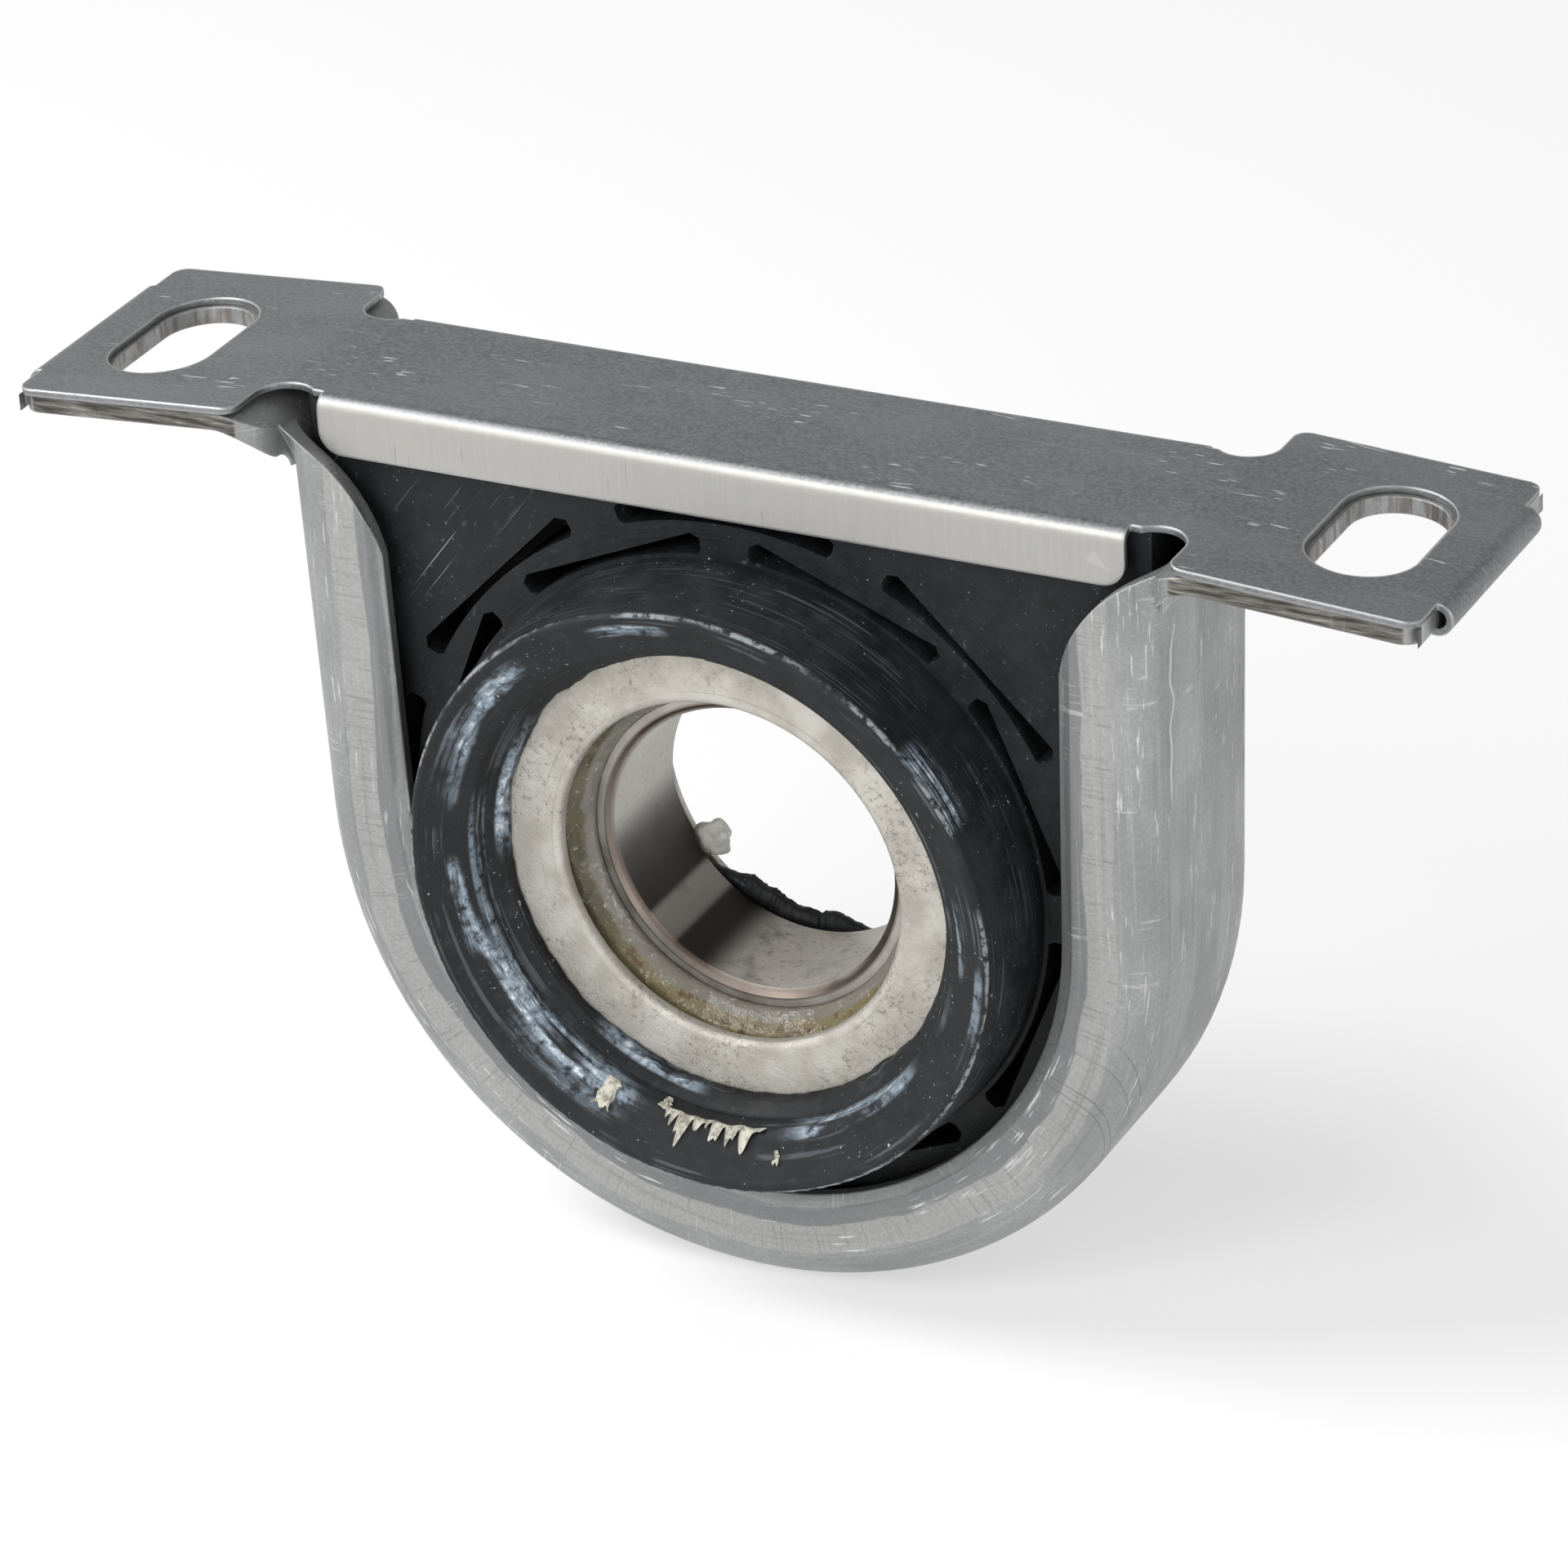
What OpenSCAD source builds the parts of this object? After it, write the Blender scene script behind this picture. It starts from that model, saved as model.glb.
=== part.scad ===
// Driveshaft centre bearing: a ball bearing in a rubber cushion, hung in a pressed steel strap
// under a folded top plate. The origin is the centre of the bore, +Y runs along the shaft to the
// rear, +X along the plate and +Z up to the mounting face. All sizes are millimetres.

/* [Bearing] */
// Bore of the inner ring
bore_d = 40; // [36:0.5:42]
// Outside diameter of the outer ring
bearing_od = 80; // [78:0.5:82]
// Width of both rings
bearing_w = 18; // [17:0.5:20]
// Diameter of a ball
ball_d = 12; // [10:0.25:12.5]
// Number of balls
ball_count = 9; // [7:1:9]
// Clearance between a ball and its races
race_gap = 0.08; // [0.05:0.01:0.12]
// Height of each ring's land from the pitch circle
land_offset = 3.7; // [3.2:0.1:4.2]
// Chamfer on the rings' edges
ring_chamfer = 1; // [0.4:0.1:1.5]

/* [Cage] */
// Sheet thickness of the cage halves
cage_t = 0.9; // [0.6:0.1:1]
// Radial width of the cage band
cage_band = 5; // [4:0.1:5.6]
// Clearance between a ball and its pocket
pocket_gap = 0.2; // [0.1:0.05:0.3]
// Diameter of a rivet's shank
rivet_d = 1.8; // [1.4:0.1:2.2]
// Diameter of a rivet's head
rivet_head_d = 3; // [2.6:0.1:3.4]
// Height of a rivet's head
rivet_head_h = 0.6; // [0.4:0.1:0.9]

/* [Seals] */
// Thickness of a seal
seal_t = 0.8; // [0.6:0.1:0.9]
// Depth of a seal below the ring's face
seal_inset = 0.5; // [0.3:0.1:0.6]
// Depth of the seat turned into the outer ring
seal_seat = 1.2; // [0.8:0.1:1.6]
// Running gap between a seal and the inner ring
seal_gap = 0.3; // [0.2:0.05:0.5]

/* [Shields] */
// Sheet thickness of a shield
shield_t = 1; // [0.7:0.1:1.4]
// Opening of a shield
shield_bore_d = 48.2; // [46:0.2:52]
// Distance from the ring's face to the shield's face
shield_reach = 6.7; // [6:0.1:8]
// Diameter at which the shield's face turns back
shield_face_d = 70; // [68:0.5:72]
// Radius of the turned-back edge
shield_edge_r = 2.4; // [1.6:0.1:3]
// Depth of the return at the shield's opening
shield_return = 1.6; // [1.2:0.1:2.4]

/* [Rubber cushion] */
// Depth of the cushion's web along the shaft
web_depth = 22; // [20:0.5:24]
// Distance from the middle of the bearing to the front of each collar
collar_reach = 25.2; // [24:0.1:28]
// Diameter of the collar at its front shoulder
collar_d = 82; // [80:0.5:84]
// Diameter of the collar where it meets the web
collar_root_d = 84.6; // [84:0.2:86]
// Rounding of the collar's outer edge
collar_round = 0.8; // [0.4:0.1:1.4]
// Diameter of the collar's face at its inner edge
collar_face_d = 67.6; // [67:0.2:70]
// Depth by which the face is dished at its inner edge
collar_dish = 3.5; // [2.5:0.1:4]
// Rounding of the face's inner edge
collar_soft_r = 1.6; // [0.8:0.1:2]
// Opening in the collar's lip, over the shield
collar_lip_d = 63.4; // [60:0.2:66]
// Thickness of the lip over the shield
collar_lip_t = 1.6; // [1:0.1:2.4]
// Radius to the inner row of slots
inner_slot_r = 42.9; // [42.6:0.1:43.4]
// Radius to the outer row of slots
outer_slot_r = 47.4; // [47:0.1:48.4]
// Narrowest opening of a slot, at its middle
slot_gap = 1; // [0.6:0.1:1.4]
// Slots in each row
slot_count = 8; // [6:1:9]
// Angle that one slot spans
slot_span = 33; // [26:1:35]
// Thickness of the skin that closes the slots in the middle of the web
slot_skin = 2; // [1:0.5:4]
// Gap between the cushion and the metal that it sits in
seat_gap = 0.15; // [0.1:0.05:0.25]

/* [Strap] */
// Sheet thickness of the strap
strap_t = 2.3; // [1.8:0.1:2.8]
// Outside diameter of the U
strap_od = 119.4; // [118:0.2:122]
// Depth of the channel along the shaft
channel_depth = 31.8; // [30:0.2:34]
// Rounding of the channel's shoulders
shoulder_r = 5.2; // [4:0.1:6]
// Diameter of the opening between the lips
lip_opening_d = 93; // [90:0.5:96]
// Bevel on the lips' inner edge
lip_bevel = 0.9; // [0.4:0.1:1.2]
// Lean of each leg away from upright, in degrees
leg_lean = 1.5; // [0:0.1:2.5]
// Height on the leg at which the lip starts to run out
lip_end = 38; // [34:0.5:42]
// Drop from the ear's top to the crest of the lip's run-out
lip_crest_drop = 1.8; // [1.2:0.1:2.2]
// Inside radius of the bend from leg to ear
ear_bend_r = 7; // [5:0.5:9]
// Depth of an ear along the shaft
ear_w = 40.4; // [38:0.2:40.8]
// Corner radius of an ear
ear_corner_r = 3; // [1:0.5:5]
// Width of the slot in an ear
ear_slot_w = 12.8; // [11:0.1:13.4]
// Length of the slot in an ear, end to end
ear_slot_l = 23.4; // [20:0.2:24]

/* [Top plate] */
// Sheet thickness of the plate
plate_t = 0.9; // [0.7:0.1:1.2]
// Height of the plate's top over the bore's axis
centre_h = 57.2; // [57:0.1:60]
// Overall length of the plate
plate_l = 198.4; // [194:0.2:204]
// Depth of the plate's tabs along the shaft
plate_w = 41; // [40.8:0.2:44]
// Depth of the plate over its two flanges
flange_depth = 27.4; // [25:0.2:30]
// Height of a flange
flange_h = 7.8; // [5:0.1:10]
// Length of a flange
flange_l = 112.4; // [106:0.2:114]
// Corner radius of a flange
flange_corner_r = 3.2; // [1:0.2:4]
// Outside radius of the plate's bends
plate_bend_r = 2; // [1.2:0.1:2.4]
// Width of a relief notch
notch_w = 8.5; // [7:0.1:10]
// Half the depth left between two notches
notch_floor = 10.7; // [9:0.1:12]
// Corner radius of a tab
tab_corner_r = 2; // [1:0.1:4]
// Distance from the middle at which the tabs start to droop
droop_x = 62.6; // [61:0.2:64]
// Droop of the tabs and the ears, in degrees
droop = 3.8; // [0:0.1:5]
// Distance from the middle of a bolt slot to the plate's end
slot_edge = 15.2; // [13:0.1:18]
// Width of the slot in a tab
tab_slot_w = 14.4; // [13.6:0.1:16]
// Length of the slot in a tab, end to end
tab_slot_l = 25; // [24.2:0.2:27]
// Depth of the hem along the shaft
hem_w = 28.6; // [24:0.2:32]
// Length of the hem under the ear
hem_return = 3.5; // [2:0.1:5]
// Clearance between the plate and the ear
plate_gap = 0.1; // [0.05:0.05:0.2]

/* [Hidden] */
$fn = 96;
beyond = 200;

ball_r = ball_d / 2;
pitch_r = (bore_d + bearing_od) / 4;
inner_land_r = pitch_r - land_offset;
outer_land_r = pitch_r + land_offset;
ring_face = bearing_w / 2;
ball_step = 360 / ball_count;
seal_outer_r = outer_land_r + seal_seat - seat_gap;
seat_depth = seal_inset + seal_t;

shield_face = ring_face + shield_reach;
shield_flange_r = bearing_od / 2 - seat_gap;
shield_foot_r = shield_face_d / 2 + shield_edge_r / 2;
roll_at = [shield_face_d / 2 - shield_edge_r, shield_face - shield_edge_r];

bearing_seat_r = bearing_od / 2 + seat_gap;
// The blunted end of a slot reaches so many degrees past its flat
slot_nose = 1.6;
cushion_r = strap_od / 2 - strap_t - seat_gap;
cushion_top = centre_h - plate_t - seat_gap;
lip_underside = shield_face + seat_gap;

strap_r = strap_od / 2;
lip_r = lip_opening_d / 2;
half_channel = channel_depth / 2;
under_plate = plate_t + plate_gap;
ear_outer_r = ear_bend_r + strap_t;
// Centre of the bend: the leg's outside and the tab's underside are both tangent to it
tab_underside = centre_h - under_plate / cos(droop) + droop_x * tan(droop);
bend_x = (strap_r + ear_bend_r + sin(leg_lean) * (tab_underside - ear_outer_r / cos(droop)))
    / (cos(leg_lean) + tan(droop) * sin(leg_lean));
bend_z = tab_underside - bend_x * tan(droop) - ear_outer_r / cos(droop);
leg_l = bend_x * sin(leg_lean) + bend_z * cos(leg_lean);
bend_sweep = 90 - leg_lean + droop;
// The halves of the U lap by this angle at the bottom, so that they join into one piece
bottom_lap = 4;
half_sweep = 90 - leg_lean + bottom_lap;
// The ear's flat laps into the bend by this much, and is this much thicker on each face, for the same end
ear_lap = 0.6;
ear_swell = 0.01;
bend_off = strap_r + ear_bend_r;
// The lip's run-out is an arc from the end of the lip to a crest, both given from the bend's centre
crest = [strap_t / 2, ear_outer_r - lip_crest_drop];
run_off = crest - [lip_r - bend_off, lip_end - leg_l];
run_r = (run_off[0] ^ 2 + run_off[1] ^ 2) / (2 * run_off[1]);
// Distances along a tab, from the line at which it starts to droop
hem_r = strap_t / 2 + under_plate;
hem_at = (plate_l / 2 - droop_x) / cos(droop) - hem_r;
// The ear starts to widen so many degrees round the bend
flare_from = 20;
ear_root_x = bend_x - ear_bend_r * cos(flare_from);
ear_end_x = droop_x + hem_at * cos(droop) - hem_r * sin(droop);
slot_spacing = plate_l - 2 * slot_edge;
// The tab laps into the flat middle by this much, and the hem into the tab, each as a thin tongue
tab_lap = 3;
flat_half = flange_depth / 2 - plate_bend_r;
notch_x = flange_l / 2 + notch_w / 2;

// Revolves a profile of radius and distance along the shaft about the shaft's axis, from +X down
module about_shaft(start = 0, angle = 360) {
    rotate([-90, 0, 0])
        rotate([0, 0, start])
            rotate_extrude(angle = angle)
                children();
}

// Extrudes an outline drawn in X and Z along the shaft, centred on the bearing
module along_shaft(depth) {
    rotate([90, 0, 0])
        linear_extrude(height = depth, center = true)
            children();
}

module at_balls() {
    for (i = [0:ball_count - 1])
        rotate([0, i * ball_step, 0])
            translate([pitch_r, 0, 0])
                children();
}

// Both halves of something that is alike left and right
module both_sides() {
    children();
    mirror([1, 0, 0])
        children();
}

// Both halves of something that is alike front and rear
module both_ends() {
    children();
    mirror([0, 1, 0])
        children();
}

// The frame of the right-hand tab: X outwards along it, Z off its top face
module on_tab() {
    translate([droop_x, 0, centre_h])
        rotate([0, droop, 0])
            children();
}

module slot_outline(width, length) {
    for (end = [-1, 1])
        translate([0, end * (length - width) / 2])
            circle(d = width);
    square([width, length - width], center = true);
}

module bolt_slots(width, length) {
    both_sides()
        translate([slot_spacing / 2, 0, 0])
            linear_extrude(height = beyond)
                slot_outline(width, length);
}

// A quarter of a round, which fills the square corner at the origin
module round_corner(radius) {
    difference() {
        square(radius);
        translate([radius, radius])
            circle(r = radius);
    }
}

module ring_blank(inner, outer) {
    polygon([
        [inner + ring_chamfer, -ring_face], [outer - ring_chamfer, -ring_face],
        [outer, -ring_face + ring_chamfer], [outer, ring_face - ring_chamfer],
        [outer - ring_chamfer, ring_face], [inner + ring_chamfer, ring_face],
        [inner, ring_face - ring_chamfer], [inner, -ring_face + ring_chamfer]]);
}

module race() {
    translate([pitch_r, 0])
        circle(r = ball_r + race_gap);
}

module bearing_inner_ring() {
    color("dimgray")
        about_shaft()
            difference() {
                ring_blank(bore_d / 2, inner_land_r);
                race();
            }
}

module bearing_outer_ring() {
    color("gray")
        about_shaft()
            difference() {
                ring_blank(outer_land_r, bearing_od / 2);
                race();
                for (end = [-1, 1])
                    translate([0, end * ring_face])
                        square([2 * (outer_land_r + seal_seat), 2 * seat_depth], center = true);
            }
}

module ball(i) {
    color("silver")
        rotate([0, (i - 1) * ball_step, 0])
            translate([pitch_r, 0, 0])
                sphere(r = ball_r);
}

// One half of the ribbon cage: flats between the balls, domed pockets round them
module cage_half() {
    pocket_r = ball_r + pocket_gap;
    intersection() {
        union() {
            difference() {
                about_shaft()
                    translate([pitch_r - cage_band, 0])
                        square([2 * cage_band, cage_t]);
                at_balls()
                    rotate([90, 0, 0])
                        cylinder(r = pocket_r + cage_t / 2, h = ball_d, center = true);
                at_rivets()
                    cylinder(d = rivet_d, h = ball_d, center = true);
            }
            at_balls()
                about_shaft()
                    intersection() {
                        difference() {
                            circle(r = pocket_r + cage_t);
                            circle(r = pocket_r);
                        }
                        square(ball_d);
                    }
        }
        about_shaft()
            translate([pitch_r - cage_band / 2, -ball_d])
                square([cage_band, 2 * ball_d]);
    }
}

module at_rivets() {
    for (i = [0:ball_count - 1])
        rotate([0, (i + 1 / 2) * ball_step, 0])
            translate([pitch_r, 0, 0])
                rotate([90, 0, 0])
                    children();
}

module cage_rear_half() {
    color("darkgoldenrod")
        cage_half();
}

module cage_front_half() {
    color("goldenrod")
        mirror([0, 1, 0])
            cage_half();
}

module cage_rivets() {
    color("silver")
        at_rivets() {
            cylinder(d = rivet_d, h = 2 * cage_t, center = true);
            for (end = [-1, 1])
                translate([0, 0, end * (cage_t + rivet_head_h / 2)])
                    cylinder(d = rivet_head_d, h = rivet_head_h, center = true);
        }
}

module seal() {
    about_shaft()
        translate([inner_land_r + seal_gap, ring_face - seat_depth])
            square([seal_outer_r - inner_land_r - seal_gap, seal_t]);
}

module rear_seal() {
    color("black")
        seal();
}

module front_seal() {
    color("black")
        mirror([0, 1, 0])
            seal();
}

// A pressed cup: a flange against the outer ring, a rounded edge and a face with a turned-in opening
module shield() {
    opening_r = shield_bore_d / 2;
    about_shaft() {
        translate([shield_foot_r - shield_t, ring_face])
            square([shield_flange_r - shield_foot_r + shield_t, shield_t]);
        polygon([
            [shield_foot_r - shield_t, ring_face], [shield_foot_r, ring_face],
            [shield_face_d / 2, roll_at[1]], [shield_face_d / 2 - shield_t, roll_at[1]]]);
        intersection() {
            difference() {
                translate(roll_at)
                    circle(r = shield_edge_r);
                translate(roll_at)
                    circle(r = shield_edge_r - shield_t);
            }
            translate(roll_at)
                square(shield_edge_r);
        }
        translate([opening_r + shield_t, shield_face - shield_t])
            square([roll_at[0] - opening_r - shield_t, shield_t]);
        translate([opening_r, shield_face - shield_return])
            square([shield_t, shield_return - shield_t]);
        intersection() {
            translate([opening_r + shield_t, shield_face - shield_t])
                circle(r = shield_t);
            translate([opening_r, shield_face - shield_t])
                square(shield_t);
        }
    }
}

module rear_shield() {
    color("gainsboro")
        shield();
}

module front_shield() {
    color("gainsboro")
        mirror([0, 1, 0])
            shield();
}

// Rear half of the rubber sleeve that wraps the bearing and turns in over the shield
module collar_profile() {
    edge_at = [collar_d / 2 - collar_round, collar_reach - collar_round];
    lip_edge_r = collar_lip_d / 2;
    wall_foot = [lip_edge_r + collar_lip_t, lip_underside + 2 * collar_lip_t];
    corner = [collar_face_d / 2, collar_reach - collar_dish];
    wall = corner - wall_foot;
    wall_tilt = atan2(wall[1], wall[0]);
    to_edge = edge_at - corner;
    face_tilt = atan2(to_edge[1], to_edge[0]) + asin(collar_round / norm(to_edge));
    face_end = edge_at + collar_round * [-sin(face_tilt), cos(face_tilt)];
    cut = collar_soft_r * tan((wall_tilt - face_tilt) / 2);
    face_start = corner + cut * [cos(face_tilt), sin(face_tilt)];
    soft_at = face_start + collar_soft_r * [sin(face_tilt), -cos(face_tilt)];
    wall_end = soft_at + collar_soft_r * [-sin(wall_tilt), cos(wall_tilt)];
    polygon([
        [lip_edge_r, -beyond], [lip_edge_r, lip_underside + collar_lip_t], wall_foot, wall_end, soft_at, face_start,
        face_end, edge_at, [collar_d / 2, edge_at[1]], [collar_root_d / 2, web_depth / 2],
        [collar_root_d / 2, -beyond]]);
    translate(edge_at)
        circle(r = collar_round);
    translate(soft_at)
        circle(r = collar_soft_r);
}

// Room in the sleeve for the rings and for the shield's flange, side and face
module bearing_room() {
    flange_top = ring_face + shield_t + seat_gap;
    side_r = shield_face_d / 2 + seat_gap;
    corner = (shield_edge_r + seat_gap) * tan(45 / 2);
    polygon([
        [0, -beyond], [bearing_seat_r, -beyond], [bearing_seat_r, flange_top],
        [shield_foot_r + shield_t, flange_top], [side_r, roll_at[1]],
        [side_r, roll_at[1] + corner], [roll_at[0] + corner, lip_underside], [0, lip_underside]]);
}

// The sleeve's whole section is what the front and rear halves have in common
module sleeve_section() {
    difference() {
        intersection() {
            collar_profile();
            mirror([0, 1])
                collar_profile();
        }
        intersection() {
            bearing_room();
            mirror([0, 1])
                bearing_room();
        }
    }
}

// One crescent: an arc below and a flat above, narrow in the middle and wide at its blunted ends
module web_slot(radius) {
    half_span = slot_span / 2;
    flat_at = radius + slot_gap;
    end_w = flat_at / cos(half_span) - radius;
    nose_to = [cos(half_span + slot_nose), sin(half_span + slot_nose)];
    half = [
        flat_at * [1, tan(half_span)], (radius + 3 / 4 * end_w) * nose_to, (radius + end_w / 4) * nose_to,
        (radius - slot_gap) * [cos(half_span), sin(half_span)]];
    difference() {
        polygon(concat(half, [for (i = [len(half) - 1:-1:0]) [half[i][0], -half[i][1]]]));
        circle(r = radius);
    }
}

module cushion_outline() {
    foot = [cushion_r * cos(leg_lean), -cushion_r * sin(leg_lean)];
    top_x = foot[0] + (cushion_top - foot[1]) * tan(leg_lean);
    difference() {
        circle(r = cushion_r);
        translate([-beyond, 0])
            square(2 * beyond);
    }
    polygon([
        [-foot[0], foot[1]], [foot[0], foot[1]], [top_x, cushion_top], [-top_x, cushion_top]]);
}

module rubber_cushion() {
    web_inner_r = (bearing_seat_r + collar_root_d / 2) / 2;
    skin_r = (outer_slot_r + cushion_r) / 2;
    color("#26282b")
        union() {
            along_shaft(slot_skin)
                difference() {
                    circle(r = skin_r);
                    circle(r = web_inner_r);
                }
            along_shaft(web_depth)
                difference() {
                    cushion_outline();
                    circle(r = web_inner_r);
                    for (i = [0:slot_count - 1]) {
                        rotate(90 + i * 360 / slot_count)
                            web_slot(outer_slot_r);
                        rotate(90 + (i + 1 / 2) * 360 / slot_count)
                            web_slot(inner_slot_r);
                    }
                }
            about_shaft()
                sleeve_section();
        }
}

// Half of the filled section of the strap, out to a given distance inside its outer face
module channel_half(inset) {
    arc_r = shoulder_r - inset;
    arc_x = strap_r - shoulder_r;
    arc_y = half_channel - shoulder_r;
    square([arc_x, half_channel - inset]);
    square([strap_r - inset, arc_y]);
    translate([arc_x, arc_y])
        circle(r = arc_r);
}

// The strap's section: a wall with round shoulders and two lips, open towards the bearing
module channel_section() {
    difference() {
        for (end = [0, 1])
            mirror([0, end])
                channel_half(0);
        for (end = [0, 1])
            mirror([0, end])
                channel_half(strap_t);
        square([2 * lip_r, 2 * beyond], center = true);
        for (end = [0, 1])
            mirror([0, end])
                polygon([
                    [lip_r, half_channel], [lip_r + 2 * lip_bevel, half_channel],
                    [lip_r, half_channel - lip_bevel]]);
    }
}

// The frame of the right-hand leg: X outwards, Z up along it
module on_leg() {
    rotate([0, leg_lean, 0])
        children();
}

// What the run-out takes off the lips, from the bend's centre: all outside its arc and outside the bend
module lip_trim() {
    run_z = crest[1] - run_r;
    difference() {
        translate([-beyond, run_z])
            square(2 * beyond);
        translate([crest[0], run_z])
            circle(r = run_r);
        circle(r = ear_outer_r);
    }
}

// Half of the U with its leg and the bend at the top
module half_channel_strap() {
    on_leg()
        difference() {
            union() {
                about_shaft(0, half_sweep)
                    channel_section();
                linear_extrude(height = leg_l)
                    channel_section();
                translate([bend_off, 0, leg_l])
                    about_shaft(180, bend_sweep)
                        translate([bend_off, 0])
                            mirror([1, 0])
                                channel_section();
            }
            translate([bend_off, 0, leg_l])
                along_shaft(beyond)
                    lip_trim();
        }
}

// Plan of an ear: the flat with its corners rounded, and the fillets that widen the bend into it
module ear_plan() {
    half_w = ear_w / 2;
    root_half = half_channel - shoulder_r;
    flare_r = (half_w - root_half) / 2;
    difference() {
        translate([ear_root_x, -half_w])
            square([ear_end_x - ear_root_x, ear_w]);
        for (end = [0, 1])
            mirror([0, end]) {
                translate([ear_end_x, half_w])
                    rotate(180)
                        round_corner(ear_corner_r);
                translate([ear_root_x, half_w])
                    rotate(-90)
                        round_corner(flare_r);
            }
    }
    translate([ear_root_x - flare_r, -root_half])
        square([2 * flare_r, 2 * root_half]);
    for (end = [0, 1])
        mirror([0, end])
            translate([ear_root_x, root_half])
                mirror([1, 0])
                    round_corner(flare_r);
}

// The flat of an ear and the bend into it, both cut out by the ear's plan
module ear() {
    intersection() {
        on_leg()
            translate([bend_off, 0, leg_l]) {
                rotate([0, droop - leg_lean, 0])
                    translate([-ear_lap, -ear_w, ear_bend_r - ear_swell])
                        cube([beyond, 2 * ear_w, strap_t + 2 * ear_swell]);
                about_shaft(180, bend_sweep)
                    translate([ear_bend_r, -ear_w])
                        square([strap_t, 2 * ear_w]);
            }
        linear_extrude(height = beyond)
            ear_plan();
    }
}

module housing_strap() {
    color("darkgray")
        difference() {
            both_sides() {
                half_channel_strap();
                ear();
            }
            bolt_slots(ear_slot_w, ear_slot_l);
        }
}

// Half of the plate's section across its flanges, drawn in Y and Z
module flange_half() {
    outer = flange_depth / 2;
    translate([0, centre_h - plate_t])
        square([flat_half, plate_t]);
    translate([outer - plate_t, centre_h - flange_h])
        square([plate_t, flange_h - plate_bend_r]);
    intersection() {
        translate([flat_half, centre_h - plate_bend_r])
            difference() {
                circle(r = plate_bend_r);
                circle(r = plate_bend_r - plate_t);
            }
        translate([flat_half, centre_h - plate_bend_r])
            square(plate_bend_r);
    }
}

module flanged_middle() {
    difference() {
        rotate([90, 0, 90])
            linear_extrude(height = flange_l, center = true)
                for (end = [0, 1])
                    mirror([end, 0])
                        flange_half();
        both_sides()
            along_shaft(beyond)
                translate([flange_l / 2, centre_h - flange_h])
                    mirror([1, 0])
                        round_corner(flange_corner_r);
    }
}

// A tab's flat, which starts as a tongue inside the middle of the plate, with its corners rounded
module tab() {
    difference() {
        along_shaft(plate_w)
            polygon([
                [0, 0], [hem_at, 0], [hem_at, -plate_t], [0, -plate_t],
                [-tab_lap, -3 / 4 * plate_t], [-tab_lap, -plate_t / 2]]);
        both_ends()
            linear_extrude(height = beyond, center = true)
                translate([hem_at, plate_w / 2])
                    rotate(180)
                        round_corner(tab_corner_r);
    }
}

// The tab's end rolled round the end of the ear
module hem() {
    along_shaft(hem_w)
        translate([hem_at, -hem_r]) {
            intersection() {
                difference() {
                    circle(r = hem_r);
                    circle(r = hem_r - plate_t);
                }
                translate([0, -hem_r])
                    square([hem_r, 2 * hem_r]);
            }
            translate([-hem_return, -hem_r])
                square([hem_return, plate_t]);
            translate([-tab_lap, hem_r - 3 / 4 * plate_t])
                square([tab_lap + plate_t / 4, plate_t / 2]);
        }
}

// Relief between a flange and a tab, with the tab's corner rounded
module notch() {
    half_w = plate_w / 2;
    floor_y = notch_floor + notch_w / 2;
    translate([notch_x, floor_y])
        circle(d = notch_w);
    translate([notch_x - notch_w / 2, floor_y])
        square([notch_w, beyond]);
    translate([notch_x + notch_w / 2, half_w])
        rotate(-90)
            round_corner(tab_corner_r);
}

module top_plate() {
    color("slategray")
        difference() {
            union() {
                flanged_middle();
                translate([0, 0, centre_h - plate_t / 2])
                    cube([2 * droop_x, 2 * flat_half, plate_t], center = true);
                both_sides()
                    on_tab() {
                        tab();
                        hem();
                    }
            }
            both_sides()
                both_ends()
                    linear_extrude(height = beyond)
                        notch();
            bolt_slots(tab_slot_w, tab_slot_l);
        }
}

housing_strap();
top_plate();
rubber_cushion();
bearing_outer_ring();
bearing_inner_ring();
cage_front_half();
cage_rear_half();
cage_rivets();
front_shield();
rear_shield();
front_seal();
rear_seal();
for (i = [1:ball_count])
    ball(i);
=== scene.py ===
# %% [markdown]
# # Dressing a driveshaft centre bearing
# The rings, shields, strap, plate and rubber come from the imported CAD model, with their true sizes.
# This lesson sets up the camera and the studio, then gives each piece the surface that the used part
# on the workbench shows: rolled steel with scratches, talc on black rubber, grease in the groove.
# Lengths are written in millimetres and multiplied by MM, because Blender counts in metres.

# %% Load the frame
import math

import bmesh
import bpy
from mathutils import Matrix, Vector, noise


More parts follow.
